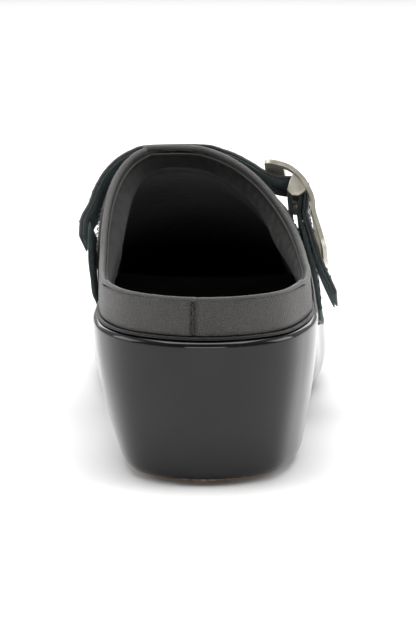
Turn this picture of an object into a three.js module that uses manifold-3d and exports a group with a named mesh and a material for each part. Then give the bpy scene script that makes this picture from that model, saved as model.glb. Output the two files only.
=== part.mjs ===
// Right-foot closed-toe clog with a low heel band, an instep strap and a centre-bar buckle.
// Millimetres. +Y runs from heel to toe, +X to the outer (lateral) side, +Z up.
// The origin is on the ground at the middle of the heel's rubber outsole.
import * as THREE from 'three';
import { mergeVertices } from 'three/addons/utils/BufferGeometryUtils.js';
import Module from 'manifold-3d';

const wasm = await Module();
wasm.setup();

// ---------------------------------------------------------------- driving dimensions
const SOLE_LENGTH = 253;          // heel back to toe tip at the widest outline
const HEEL_SETBACK = 41;          // the heel's back lies this far behind the origin
const HEEL_HEIGHT = 50.8;         // ground to the sole's top rim at the heel
const PLATFORM_HEIGHT = 25;       // ground to the sole's top rim at the ball
const TOE_SPRING = 9;             // lift of the sole's underside at the toe tip
const ARCH_HEIGHT = 19;           // clearance under the waist
const RIM_SPAN = { fall: 18, level: 118, lift: 150, tip: 245 };  // y at the ends of the rim's slopes
const ARCH_SPAN = { heel: 27, open: 46, close: 52, ball: 98 };   // y where the waist rises and comes down
const TOE_SPAN = { from: 140, to: 236 };                         // y over which the underside lifts
const HEEL_TAPER = { medial: 10, lateral: 6.2, back: 6 };  // how far the heel narrows to the ground
const OUTSOLE_SHOW = 1.5;         // outsole below the sole body
const OUTSOLE_SUNK = 1.7;         // outsole inside its pocket
const OUTSOLE_INSET = { heel: 12.5, fore: 9 };             // outsole edges inside the widest outline
const OUTSOLE_SPAN = { heelFront: 24, foreBack: 100 };     // y where the heel plate ends and the other starts

const GAP = 0.35;                 // clearance between touching pieces
const RIM_INSET = 2.2;            // upper's outer face inside the sole's widest outline
const RAND = { inset: 1.2, width: 3.1, height: 1.2 };
const LEATHER = 1.4;              // upper leather
const LINING = 1.1;
const STIFFENER = 0.9;            // heel counter and toe puff
const COLLAR_PADDING = 4.2;       // foam behind the throat lining
const INSOLE_BOARD = 1.2;
const FOOTBED = { heel: 5.6, fore: 3.2, cup: 2.6, clear: 0.05 };  // foam thickness, rise of its heel rim
const SOCK = 1.1;                 // footbed cover

const INSTEP_HEIGHT = 99.5;      // top of the throat
const BAND_TOP = 65;              // top of the heel band
const THROAT_Y = 70.5;            // front of the foot opening
const TOPLINE_ROLL = 0.1;         // the opening's edge is higher on the inner side by this slope
const PIPING_RADIUS = 1.15;

const STRAP_SETBACK = 5.5;          // strap's rear edge ahead of the throat, at the instep
const STRAP_CLEAR = 0.85;          // strap's inner face off the upper
const STRAP_WIDTH = 28;
const STRAP_LEATHER = 1.1;
const STRAP_BACKING = 0.8;
const BAR_RADIUS = 1.1;
const BAR_STANDOFF = 6;           // bar's centre off the upper
const BAR_DROP = 18.3;            // bar's centre below the strap's highest point
const TAB_THICKNESS = 1.5;
const FRAME = { thickness: 2, rail: 4.4, play: 2, windowTop: 9.2, windowFoot: 18.6, clear: 0.9 };
const PRONG = { width: 2.6, thickness: 1.5, lift: 35, step: 2.5 };  // lift and its step in degrees
const ANCHOR_DROP = { top: 26, foot: 54 };  // inner-side strip below the strap's crest
const TAIL_DROP = 38.9;           // tail tip below the bar
const TAB_DROP = 44;            // tab's lower end below the bar

// ---------------------------------------------------------------- small tools
const smooth = THREE.MathUtils.smoothstep;
const lerp = THREE.MathUtils.lerp;

/** Smooth curve through rows [key, value, value...]: returns a function of key and column. */
function through(rows) {
  const slope = (i, c) => {
    const a = rows[Math.max(i - 1, 0)];
    const b = rows[Math.min(i + 1, rows.length - 1)];
    return (b[c] - a[c]) / (b[0] - a[0]);
  };
  return (key, c = 1) => {
    let i = 0;
    while (i < rows.length - 2 && key > rows[i + 1][0]) i += 1;
    const span = rows[i + 1][0] - rows[i][0];
    const t = THREE.MathUtils.clamp((key - rows[i][0]) / span, 0, 1);
    const t2 = t * t;
    const t3 = t2 * t;
    return rows[i][c] * (2 * t3 - 3 * t2 + 1) + slope(i, c) * span * (t3 - 2 * t2 + t)
      + rows[i + 1][c] * (3 * t2 - 2 * t3) + slope(i + 1, c) * span * (t3 - t2);
  };
}

/** A BufferGeometry as a manifold solid, turned the right way out. */
function solid(geometry) {
  let bare = geometry.clone();
  bare.deleteAttribute('normal');
  bare.deleteAttribute('uv');
  bare = mergeVertices(bare, 1e-4);
  const index = Array.from(bare.index.array);
  const p = bare.attributes.position;
  const triangles = [];
  let volume = 0;
  const [a, b, c] = [new THREE.Vector3(), new THREE.Vector3(), new THREE.Vector3()];
  for (let i = 0; i < index.length; i += 3) {
    const [u, v, w] = index.slice(i, i + 3);
    if (u === v || v === w || w === u) continue;
    triangles.push([u, v, w]);
    volume += a.fromBufferAttribute(p, u).dot(b.fromBufferAttribute(p, v).cross(c.fromBufferAttribute(p, w)));
  }
  const facing = volume < 0 ? triangles.map(([u, v, w]) => [u, w, v]) : triangles;
  return new wasm.Manifold(new wasm.Mesh({
    numProp: 3,
    vertProperties: new Float32Array(p.array),
    triVerts: new Uint32Array(facing.flat()),
  }));
}

/** A manifold solid back as a BufferGeometry. */
function geometryOf(manifold) {
  const mesh = manifold.getMesh();
  const geometry = new THREE.BufferGeometry();
  geometry.setAttribute('position', new THREE.BufferAttribute(mesh.vertProperties, 3));
  geometry.setIndex(new THREE.BufferAttribute(mesh.triVerts, 1));
  geometry.computeVertexNormals();
  return geometry;
}

/** Skin over a row of closed sections with equal point counts, which collapse at the ends or are capped. */
function loft(sections, capped = false) {
  const around = sections[0].length;
  const position = sections.flat().flatMap((point) => point.toArray());
  const index = [];
  for (let i = 0; i + 1 < sections.length; i += 1) {
    for (let j = 0; j < around; j += 1) {
      const k = (j + 1) % around;
      const [a, b, c, d] = [i * around + j, i * around + k, (i + 1) * around + k, (i + 1) * around + j];
      if (j < around / 2) index.push(a, b, c, a, c, d);
      else index.push(a, b, d, b, c, d);
    }
  }
  const cap = (section, first, turned) => {
    const contour = section.map((point) => new THREE.Vector2(point.x, point.z));
    for (const [a, b, c] of THREE.ShapeUtils.triangulateShape(contour, [])) {
      index.push(first + a, first + (turned ? c : b), first + (turned ? b : c));
    }
  };
  if (capped) {
    cap(sections[0], 0, true);
    cap(sections.at(-1), (sections.length - 1) * around, false);
  }
  const geometry = new THREE.BufferGeometry();
  geometry.setAttribute('position', new THREE.Float32BufferAttribute(position, 3));
  geometry.setIndex(index);
  return geometry;
}

/** A closed solid swept between two offset shapes of (y, z) points, straight along X. */
function acrossX(points, low, high) {
  const shape = new THREE.Shape(points);
  const geometry = new THREE.ExtrudeGeometry(shape, { depth: high - low, bevelEnabled: false });
  const matrix = new THREE.Matrix4().makeBasis(
    new THREE.Vector3(0, 1, 0), new THREE.Vector3(0, 0, 1), new THREE.Vector3(1, 0, 0));
  return geometry.applyMatrix4(matrix.setPosition(low, 0, 0));
}

const vector = (x, y, z) => new THREE.Vector3(x, y, z);
const flat = (x, y) => new THREE.Vector2(x, y);

function finish(color, roughness, metalness = 0) {
  return new THREE.MeshStandardMaterial({ color, roughness, metalness });
}
const looks = {
  lacquer: finish(0x0c0c0e, 0.12),
  rubber: finish(0x9a6b42, 0.75),
  leather: finish(0x3a3937, 0.5),
  suede: finish(0x1e2422, 0.9),
  textile: finish(0x2b2b2a, 0.95),
  board: finish(0x6b5a45, 0.85),
  foam: finish(0x4a4a48, 0.95),
  metal: finish(0x9c9284, 0.38, 1),
};

const clog = new THREE.Group();
function add(name, geometry, material, parent = clog) {
  const mesh = new THREE.Mesh(geometry, material);
  mesh.name = name;
  parent.add(mesh);
}

// ---------------------------------------------------------------- footprint
// Widest outline of the sole: share of the length from the heel, inner edge, outer edge.
const outlineTable = [
  [0, -1, -1],
  [0.04, -27, 25],
  [0.1, -36.5, 33.5],
  [0.18, -40, 38],
  [0.28, -39.6, 38],
  [0.4, -39, 38.8],
  [0.52, -41, 41.5],
  [0.62, -43.5, 45],
  [0.72, -44.5, 44.5],
  [0.82, -43, 40.5],
  [0.91, -37.5, 32.5],
  [0.97, -26.5, 19],
  [1, -6, -6],
];
const stationOf = (share) => Math.acos(1 - 2 * share) / Math.PI;
const outline = through(outlineTable.map(([share, ...x]) => [stationOf(share), ...x]));
const alongY = (u) => -HEEL_SETBACK + SOLE_LENGTH * (1 - Math.cos(Math.PI * u)) / 2;
const stationAt = (y) => stationOf(THREE.MathUtils.clamp((y + HEEL_SETBACK) / SOLE_LENGTH, 0, 1));

const MEDIAL = 1;
const LATERAL = 2;

/** Point of the footprint on one side at station u (0 heel, 1 toe), moved inwards by inset. */
function edge(u, side, inset) {
  const step = 1e-3;
  const before = Math.max(u - step, 0);
  const after = Math.min(u + step, 1);
  const across = outline(after, side) - outline(before, side);
  const tangent = flat(across, alongY(after) - alongY(before)).normalize();
  const turn = side === MEDIAL ? 1 : -1;
  if (u === 0) tangent.set(-turn, 0);
  if (u === 1) tangent.set(turn, 0);
  return flat(outline(u, side) + turn * tangent.y * inset, alongY(u) - turn * tangent.x * inset);
}

const STATIONS = 26;
const stations = Array.from({ length: STATIONS + 1 }, (_, i) => i / STATIONS);

// Heights along the shoe: the sole's rim and underside.
const rimHeight = (y) => lerp(HEEL_HEIGHT, PLATFORM_HEIGHT, smooth(y, RIM_SPAN.fall, RIM_SPAN.level))
  + TOE_SPRING * 1.2 * smooth(y, RIM_SPAN.lift, RIM_SPAN.tip);
const underside = (y) => ARCH_HEIGHT * smooth(y, ARCH_SPAN.heel, ARCH_SPAN.open)
  * (1 - smooth(y, ARCH_SPAN.close, ARCH_SPAN.ball))
  + TOE_SPRING * 1.25 * smooth(y, TOE_SPAN.from, TOE_SPAN.to);

/** A flat-lying layer: the footprint inset, between two surfaces, with several points across. */
function layer(inset, bottom, top, { from = 0, to = 1, across = 2, count = STATIONS } = {}) {
  const sections = [];
  for (let i = 0; i <= count; i += 1) {
    const u = lerp(from, to, i / count);
    const [m, l] = [edge(u, MEDIAL, inset), edge(u, LATERAL, inset)];
    const row = (height) => Array.from({ length: across }, (_, k) => {
      const share = k / (across - 1);
      const [x, y] = [lerp(m.x, l.x, share), lerp(m.y, l.y, share)];
      return vector(x, y, height(y, 2 * share - 1));
    });
    sections.push([...row(bottom), ...row(top).reverse()]);
  }
  return loft(sections, true);
}

// ---------------------------------------------------------------- sole body and outsoles
/** How far the sole's wall stands inside the widest outline, at height share h. */
function wallInset(y, side, h) {
  const toSide = smooth(y, -HEEL_SETBACK, -HEEL_SETBACK + 38);
  const taper = lerp(HEEL_TAPER.back, side === MEDIAL ? HEEL_TAPER.medial : HEEL_TAPER.lateral, toSide);
  const heel = taper * (1 - h) ** 1.8;
  const fore = h < 0.58 ? 4.5 * (1 - h / 0.58) ** 2 : 0.8 * ((h - 0.58) / 0.42) ** 2;
  const foot = 3 * (1 - Math.sqrt(1 - Math.max(0, 1 - h / 0.06) ** 2));
  const lip = 1.2 * Math.max(0, (h - 0.955) / 0.045) ** 2;
  return lerp(heel, fore, smooth(y, 35, 95)) + foot + lip;
}

const wallShares = [0, 0.015, 0.05, 0.14, 0.28, 0.44, 0.6, 0.76, 0.9, 0.96, 1];
function soleBody() {
  const sections = stations.map((u) => {
    const y = alongY(u);
    const wall = (side) => wallShares.map((h) => {
      const p = edge(u, side, wallInset(y, side, h));
      return vector(p.x, p.y, lerp(underside(p.y) + OUTSOLE_SHOW, rimHeight(p.y), h));
    });
    return [...wall(MEDIAL), ...wall(LATERAL).reverse()];
  });
  return solid(loft(sections));
}

const heelEdge = { from: 0, to: stationAt(OUTSOLE_SPAN.heelFront), count: 14 };
const foreEdge = { from: stationAt(OUTSOLE_SPAN.foreBack), to: 1, count: 20 };
/** An outsole plate, or with clearance its pocket in the sole. */
function outsole(region, inset, clearance) {
  const spread = clearance / SOLE_LENGTH;
  const zone = { ...region, from: Math.max(region.from - spread, 0), to: Math.min(region.to + spread, 1) };
  const bottom = (y) => underside(y) - clearance * 4;
  const top = (y) => underside(y) + OUTSOLE_SHOW + OUTSOLE_SUNK + clearance;
  return solid(layer(inset - clearance, bottom, top, zone));
}
const sole = soleBody()
  .subtract(outsole(heelEdge, OUTSOLE_INSET.heel, GAP))
  .subtract(outsole(foreEdge, OUTSOLE_INSET.fore, GAP));
add('sole_body', geometryOf(sole), looks.lacquer);
add('heel_outsole', geometryOf(outsole(heelEdge, OUTSOLE_INSET.heel, 0)), looks.rubber);
add('forefoot_outsole', geometryOf(outsole(foreEdge, OUTSOLE_INSET.fore, 0)), looks.rubber);

// ---------------------------------------------------------------- rand, insole board and footbed
const randTop = (y) => rimHeight(y) + GAP + RAND.height;
const rand = solid(layer(RAND.inset, (y) => rimHeight(y) + GAP, randTop))
  .subtract(solid(layer(RAND.inset + RAND.width, (y) => rimHeight(y) - 2, (y) => randTop(y) + 2)));
add('rand', geometryOf(rand), looks.leather);

const upperBase = (y) => randTop(y) + GAP;
const boardInset = RAND.inset + RAND.width + GAP;
const boardTop = (y) => rimHeight(y) + GAP + INSOLE_BOARD;
add('insole_board', geometryOf(solid(layer(boardInset, (y) => rimHeight(y) + GAP, boardTop))), looks.board);

const footbedInset = RIM_INSET + LEATHER + STIFFENER + LINING + 4 * GAP + 0.7;
const heelCup = (y, across) => FOOTBED.cup * across ** 2 * (1 - smooth(y, 10, 60));
const foamTop = (y, across) => boardTop(y) + 2 * GAP
  + lerp(FOOTBED.heel, FOOTBED.fore, smooth(y, 30, 110)) + heelCup(y, across);
const sockTop = (y, across) => foamTop(y, across) + GAP + SOCK;
const footbedZone = { from: 0.06, to: 0.94, across: 5, count: 18 };

// ---------------------------------------------------------------- upper: one form, nested shells
// Share of the length, ridge height above or below the instep, ridge x, bulge inner, bulge outer.
const ridgeTable = [
  [0, -3, -1, 0, 0],
  [0.16, 0, -3, 0, 0],
  [0.32, 2, -8, 1.5, 0],
  [0.44, 0.2, -10, 3, 0.5],
  [0.465, -3, -10, 3, 0.6],
  [0.52, -8.5, -9, 2.5, 1],
  [0.62, -18.5, -7, 1, 1],
  [0.72, -29, -5, 0, 0.5],
  [0.82, -38.5, -6, 0, 0],
  [0.92, -47.5, -7, 0, 0],
  [0.97, -53.5, -7, 0, 0],
  [1, -61, -7, 0, 0],
];
const ridge = through(ridgeTable.map(([share, ...rest]) => [stationOf(share), ...rest]));
const ridgeHeight = (u) => INSTEP_HEIGHT + ridge(u, 1);

/** Exponents of the section's rounding: squarer on the inner side at the instep. */
function squareness(y, side) {
  const instep = smooth(y, 5, 60) * (1 - smooth(y, 90, 140));
  return lerp(2.3, side === MEDIAL ? 3.6 : 2, instep);
}

/** Point of the upper's form: station, side, height share s, and depth under its outer face. */
function formPoint(u, side, s, depth) {
  const base = edge(u, side, RIM_INSET + depth);
  const crest = edge(u, MEDIAL, RIM_INSET + depth).add(edge(u, LATERAL, RIM_INSET + depth))
    .multiplyScalar(0.5);
  const spread = 1 - Math.abs(2 * Math.min(Math.max(u, 0), 1) - 1) ** 8;
  const top = flat(lerp(crest.x, ridge(u, 2), spread * 0.999), crest.y);
  const power = squareness(alongY(u), side);
  const reach = Math.max(0, 1 - s ** power) ** (1 / power);
  const low = upperBase(base.y);
  const high = ridgeHeight(u) - depth;
  const bulge = (side === MEDIAL ? -ridge(u, 3) : ridge(u, 4)) * Math.sin(Math.PI * s);
  return vector(lerp(top.x, base.x, reach) + bulge * reach, lerp(top.y, base.y, reach), lerp(low, high, s));
}

const RISE = 8;                                    // points up each side of a section
const riseShares = Array.from({ length: RISE }, (_, j) => Math.sin(j / RISE * Math.PI / 2) ** 1.15);

/** The form as a closed solid at a depth that varies along and up the shoe, with a skirt below it. */
function formSolid(depthAt, skirt = 0) {
  const sections = stations.map((u) => {
    const y = alongY(u);
    const side = (which) => {
      const points = riseShares.map((s) => formPoint(u, which, s, depthAt(y, s)));
      return [vector(points[0].x, points[0].y, points[0].z - skirt), ...points];
    };
    const crest = formPoint(u, MEDIAL, 1, depthAt(y, 1));
    return [...side(MEDIAL), crest, ...side(LATERAL).reverse()];
  });
  return solid(loft(sections));
}

// The foot opening's edge in side view, from behind the heel to above the throat.
const toplineCurve = new THREE.SplineCurve([
  flat(-HEEL_SETBACK - 20, BAND_TOP),
  flat(-22, BAND_TOP),
  flat(-4, BAND_TOP - 0.8),
  flat(THROAT_Y - 52, BAND_TOP + 1.6),
  flat(THROAT_Y - 36, BAND_TOP + 7),
  flat(THROAT_Y - 22, lerp(BAND_TOP, INSTEP_HEIGHT, 0.426)),
  flat(THROAT_Y - 11, lerp(BAND_TOP, INSTEP_HEIGHT, 0.664)),
  flat(THROAT_Y - 4, lerp(BAND_TOP, INSTEP_HEIGHT, 0.861)),
  flat(THROAT_Y, INSTEP_HEIGHT + 0.5),
  flat(THROAT_Y + 1.5, INSTEP_HEIGHT + 9),
]);
const toplineRoll = (y) => TOPLINE_ROLL * smooth(y, 0, 45);

/** Everything above and behind the opening's edge, with the edge lowered by a clearance. */
function openingCutter(lowered) {
  const edgePoints = toplineCurve.getPoints(30).map((p, i) => {
    const tangent = toplineCurve.getTangent(i / 30);
    return flat(p.x + tangent.y * lowered, p.y - tangent.x * lowered);
  });
  const back = edgePoints[0].x;
  const front = edgePoints.at(-1).x;
  const reach = 70;
  const geometry = acrossX([...edgePoints, flat(front, 160), flat(back, 160)], -reach, reach);
  const p = geometry.attributes.position;
  for (let i = 0; i < p.count; i += 1) {
    if (p.getZ(i) < 159) p.setZ(i, p.getZ(i) - toplineRoll(p.getY(i)) * p.getX(i));
  }
  return solid(geometry);
}

/** Thickness between leather and lining: padded around the throat, thin low down, at heel and toe. */
function midLayer(y, s) {
  const padded = smooth(y, 22, 52) * (1 - smooth(y, 98, 135)) * smooth(s, 0.08, 0.4);
  return lerp(STIFFENER, COLLAR_PADDING, padded);
}
const depths = {
  leatherIn: () => LEATHER,
  midOut: () => LEATHER + GAP,
  midIn: (y, s) => LEATHER + GAP + midLayer(y, s),
  liningOut: (y, s) => LEATHER + 2 * GAP + midLayer(y, s),
  liningIn: (y, s) => LEATHER + 2 * GAP + midLayer(y, s) + LINING,
};
const opening = openingCutter(PIPING_RADIUS + 2 * GAP);
const skirt = 9;
const shell = (outer, inner) => formSolid(outer).subtract(formSolid(inner, skirt)).subtract(opening);

/** A block that keeps or removes everything between two lines in side view. */
const between = (points) => solid(acrossX(points, -80, 80));
const slice = (from, to) => between([flat(from, -20), flat(to, -20), flat(to, 180), flat(from, 180)]);
const slit = (x) => solid(new THREE.BoxGeometry(GAP, 600, 300).translate(x, 0, 0));
const parts = (manifold) => manifold.decompose().sort((a, b) => middle(a) - middle(b));
function middle(manifold) {
  const box = manifold.boundingBox();
  return (box.min[0] + box.max[0]) / 2;
}

const BACK_SEAM_X = -5;
const SEAM_TOP = { y: THROAT_Y - 22, z: 88 };
const SEAM_FOOT = { y: THROAT_Y + 18, z: 38 };
const seamLine = (z) => lerp(SEAM_FOOT.y, SEAM_TOP.y, (z - SEAM_FOOT.z) / (SEAM_TOP.z - SEAM_FOOT.z));
const ahead = between(
  [flat(seamLine(0) + GAP, 0), flat(300, 0), flat(300, 160), flat(seamLine(160) + GAP, 160)]);
const behind = between([flat(seamLine(0), 0), flat(seamLine(160), 160), flat(-100, 160), flat(-100, 0)]);

const leatherShell = shell(() => 0, depths.leatherIn);
add('vamp', geometryOf(leatherShell.intersect(ahead)), looks.leather);
const [quarterMedial, quarterLateral] = parts(leatherShell.intersect(behind).subtract(slit(BACK_SEAM_X)));
add('quarter_medial', geometryOf(quarterMedial), looks.leather);
add('quarter_lateral', geometryOf(quarterLateral), looks.leather);

const midShell = shell(depths.midOut, depths.midIn);
add('heel_counter', geometryOf(midShell.intersect(slice(-100, 20))), looks.board);
add('collar_foam', geometryOf(midShell.intersect(slice(30, 128))), looks.foam);
add('toe_puff', geometryOf(midShell.intersect(slice(150, 300))), looks.board);

const liningSeamX = -7;
const liningShell = shell(depths.liningOut, depths.liningIn);
const [liningMedial, liningLateral] = parts(liningShell.subtract(slit(liningSeamX)));
add('lining_medial', geometryOf(liningMedial), looks.textile);
add('lining_lateral', geometryOf(liningLateral), looks.textile);

// The footbed lies inside the lining, whatever room that leaves.
const insideLining = formSolid((y, s) => depths.liningIn(y, s) + FOOTBED.clear, skirt);
const footbedLayer = (bottom, top) => geometryOf(
  solid(layer(footbedInset, bottom, top, footbedZone)).intersect(insideLining));
add('footbed_foam', footbedLayer((y) => boardTop(y) + 2 * GAP, foamTop), looks.foam);
add('sock_cover', footbedLayer((y, a) => foamTop(y, a) + GAP, sockTop), looks.textile);

// ---------------------------------------------------------------- piping on the opening's edge
/** Point of the upper's outer face on one side, at a given y and z. */
function faceAt(y, z, side, depth) {
  const u = stationAt(y);
  const share = (z - upperBase(y)) / (ridgeHeight(u) - depth - upperBase(y));
  return formPoint(u, side, THREE.MathUtils.clamp(share, 0, 1), depth);
}

/** One side of the opening's edge, from the back seam to the throat. */
function toplineSide(side) {
  const points = [];
  const pipingDepth = LEATHER / 2;
  const heelEnd = stationAt(-8);
  for (let u = 0.02; u < heelEnd; u += 0.02) {
    const share = (BAND_TOP - upperBase(alongY(u))) / (ridgeHeight(u) - pipingDepth - upperBase(alongY(u)));
    points.push(formPoint(u, side, share, pipingDepth));
  }
  for (let i = 0; i <= 60; i += 1) {
    const p = toplineCurve.getPoint(0.1 + 0.9 * (1 - (1 - i / 60) ** 1.5));
    let x = side === MEDIAL ? -35 : 32;
    for (let pass = 0; pass < 3; pass += 1) x = faceAt(p.x, p.y - toplineRoll(p.x) * x, side, pipingDepth).x;
    const z = p.y - toplineRoll(p.x) * x;
    if (p.x > -5 && z < ridgeHeight(stationAt(p.x)) - pipingDepth) points.push(vector(x, p.x, z));
  }
  return points;
}

function piping() {
  const [medial, lateral] = [toplineSide(MEDIAL), toplineSide(LATERAL)];
  const frontY = medial.at(-1).y;
  const u = stationAt(frontY);
  const front = vector(ridge(u, 2), frontY, ridgeHeight(u) - LEATHER / 2);
  const back = (x) => vector(x, -HEEL_SETBACK + RIM_INSET + LEATHER / 2, BAND_TOP);
  const loop = new THREE.CatmullRomCurve3(
    [back(BACK_SEAM_X + 0.2), ...lateral, front, ...medial.reverse(), back(BACK_SEAM_X - 0.2)],
    false, 'centripetal');
  const even = new THREE.CatmullRomCurve3(loop.getSpacedPoints(72), false, 'centripetal');
  const round = new THREE.Shape();
  round.absarc(0, 0, PIPING_RADIUS, 0, 2 * Math.PI);
  return new THREE.ExtrudeGeometry(
    round, { steps: 80, curveSegments: 4, extrudePath: even, bevelEnabled: false });
}
add('topline_piping', piping(), looks.leather);

// ---------------------------------------------------------------- strap plane
// The strap crosses the instep square to this direction, which slopes down towards the toe.
const strapRear = THROAT_Y + STRAP_SETBACK;
const crestAt = (y) => vector(ridge(stationAt(y), 2), y, ridgeHeight(stationAt(y)));
const strapAxis = crestAt(strapRear + STRAP_WIDTH).sub(crestAt(strapRear)).setX(1.5).normalize();
const strapX = vector(1, 0, 0).addScaledVector(strapAxis, -strapAxis.x).normalize();
const strapZ = new THREE.Vector3().crossVectors(strapX, strapAxis);
const strapOrigin = crestAt(strapRear);
const strapBasis = new THREE.Matrix4().makeBasis(strapX, strapZ, strapAxis.clone().negate());
const toPlane = (point) => {
  const from = point.clone().sub(strapOrigin);
  return { across: flat(from.dot(strapX), from.dot(strapZ)), along: from.dot(strapAxis) };
};

/** Every point of the upper between the strap's edges, in the strap's plane. */
function underStrap() {
  const cloud = [];
  for (let y = strapRear - 40; y <= strapRear + STRAP_WIDTH + 12; y += 2) {
    for (const side of [MEDIAL, LATERAL]) {
      for (let s = 0; s <= 1; s += 0.03) {
        const { across, along } = toPlane(formPoint(stationAt(y), side, s, 0));
        if (along > -1 && along < STRAP_WIDTH + 1) cloud.push(across);
      }
    }
  }
  return cloud.sort((a, b) => a.x - b.x || a.y - b.y);
}
const strapCloud = underStrap();

/** Taut outline round everything the strap crosses, from its widest on the inner side to the outer side. */
function tautOutline() {
  const hull = [];
  for (const point of strapCloud) {
    while (hull.length > 1) {
      const [a, b] = hull.slice(-2);
      if ((b.x - a.x) * (point.y - a.y) - (b.y - a.y) * (point.x - a.x) < 0) break;
      hull.pop();
    }
    hull.push(point);
  }
  const kept = [hull[0]];
  for (const point of hull) if (point.distanceTo(kept.at(-1)) > 2.5) kept.push(point);
  return new THREE.SplineCurve(kept);
}
const taut = tautOutline();
const tautPoints = taut.getSpacedPoints(60);
const tautTop = tautPoints.reduce((best, p) => Math.max(best, p.y), -Infinity);

/** Point of the taut outline at a height, on one side, moved outwards; straight down below its end. */
function tautAt(height, side, out) {
  const points = side === MEDIAL ? tautPoints : [...tautPoints].reverse();
  if (height < points[0].y) return flat(points[0].x + (side === MEDIAL ? -out : out), height);
  const k = Math.max(1, points.findIndex((p) => p.y > height));
  const [a, b] = [points[k - 1], points[k]];
  const p = a.clone().lerp(b, (height - a.y) / (b.y - a.y));
  const n = flat(-(b.y - a.y), b.x - a.x).normalize().multiplyScalar(side === MEDIAL ? out : -out);
  return p.add(n);
}

/** A band between two offsets from a path; outwards is to the left of its direction. */
function band(path, inner, outer, count = 40) {
  const curve = new THREE.SplineCurve(path);
  const at = (t, offset) => {
    const tangent = curve.getTangentAt(t);
    return curve.getPointAt(t).add(flat(-tangent.y, tangent.x).multiplyScalar(offset));
  };
  const shares = Array.from({ length: count + 1 }, (_, i) => i / count);
  return new THREE.Shape([
    ...shares.map((t) => at(t, outer)), ...shares.map((t) => at(t, inner)).reverse()]);
}

/** A profile in the strap's plane swept from one distance behind the strap's rear edge to another. */
function sweep(shape, from, to) {
  const geometry = new THREE.ExtrudeGeometry(
    shape, { depth: to - from, bevelEnabled: false, curveSegments: 10 });
  return geometry.translate(0, 0, -to);
}
const strapGroup = new THREE.Group();
strapGroup.applyMatrix4(strapBasis.clone().setPosition(strapOrigin));
clog.add(strapGroup);

// ---------------------------------------------------------------- strap, tail and tab profiles
const strapStack = STRAP_LEATHER + GAP + STRAP_BACKING;
const barPlace = tautAt(tautTop - BAR_DROP, LATERAL, BAR_STANDOFF);
const fromBar = (x, z) => flat(barPlace.x + x, barPlace.y + z);
const aroundBar = (radius, degrees) => {
  const angle = THREE.MathUtils.degToRad(degrees);
  return fromBar(radius * Math.cos(angle), radius * Math.sin(angle));
};
const tabRadius = BAR_RADIUS + GAP + TAB_THICKNESS / 2;
const overBar = tabRadius + TAB_THICKNESS / 2 + GAP;         // strap's inner face over the bar
const anchorTop = tautTop - ANCHOR_DROP.top;
const anchorFoot = tautTop - ANCHOR_DROP.foot;

// Medial end low, over the instep, down to the bar and round it: the strap's inner face.
const strapPath = [];
const lapHeight = 7;
const lapDepth = STRAP_LEATHER + 2 * GAP + 0.1;
tautPoints.forEach((point, i) => {
  const before = tautPoints[Math.max(i - 1, 0)];
  const after = tautPoints[Math.min(i + 1, tautPoints.length - 1)];
  const outward = flat(before.y - after.y, after.x - before.x).normalize();
  const medial = point.x < 0;
  if (medial ? point.y < anchorTop - lapHeight : point.x > barPlace.x - 14) return;
  const lap = medial ? lapDepth * (1 - smooth(point.y, anchorTop, anchorTop + lapHeight)) : 0;
  strapPath.push(point.clone().addScaledVector(outward, STRAP_CLEAR + lap));
});
strapPath.push(fromBar(-9.5, 4.6), fromBar(-4.4, 3.3));
strapPath.push(...[88, 60, 28, 0].map((degrees) => aroundBar(overBar, degrees)));

const tabHeights = [-TAB_DROP, -36, -29, -22, -15.5, -9.5];
const tabFlare = [2.6, 1.5, 0.6, 0.1, 0.4, 1.4];
const tabPath = tabHeights.map((z, i) => tautAt(barPlace.y + z, LATERAL, GAP + tabFlare[i])).reverse();
const tabInnerPath = [
  fromBar(-tabRadius + 0.3, -6.8),
  fromBar(-tabRadius, -3),
  ...[180, 140, 100, 60, 20].map((degrees) => aroundBar(tabRadius, degrees)),
  fromBar(tabRadius - 0.4, -3),
  ...tabPath.map((p) => p.clone().add(flat(TAB_THICKNESS / 2, 0))),
];
const tailClear = [0.1, 0.1, 0.3, 1.2];
const tailPath = [
  aroundBar(overBar, -14),
  fromBar(overBar - 0.5, -5.5),
  ...tailClear.map((clear, i) => tabPath[i].clone().add(flat(TAB_THICKNESS + GAP + clear, 0))),
  tabPath[5].clone().add(flat(TAB_THICKNESS + 3.8, TAB_DROP - TAIL_DROP)),
];

const layers = [
  ['backing', 0, STRAP_BACKING, looks.suede],
  ['leather', STRAP_BACKING + GAP, strapStack, looks.leather],
];

// The strap's hole lets the prong through just above the bar.
const prongHole = solid(new THREE.BoxGeometry(11, 14, PRONG.width + 1.6))
  .translate([barPlace.x - 3.5, barPlace.y + 6, -STRAP_WIDTH / 2]);
for (const [name, inner, outer, material] of layers) {
  const piece = solid(sweep(band([...strapPath, ...tailPath], inner, outer, 60), 0, STRAP_WIDTH));
  add(`strap_${name}`, geometryOf(piece.subtract(prongHole)), material, strapGroup);
}

// Inner-side anchor: a short strip under the strap's end, running down to the sole.
const innerSide = (height) => Math.min(
  ...strapCloud.filter((p) => p.x < 0 && Math.abs(p.y - height) < 2.5).map((p) => p.x));
const anchorPath = Array.from({ length: 9 }, (_, i) => lerp(anchorFoot, anchorTop, i / 8))
  .map((height) => flat(innerSide(height) - GAP, height));
add('strap_anchor', geometryOf(solid(sweep(band(anchorPath, 0, STRAP_LEATHER, 12), 0, STRAP_WIDTH))),
  looks.suede, strapGroup);

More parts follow.
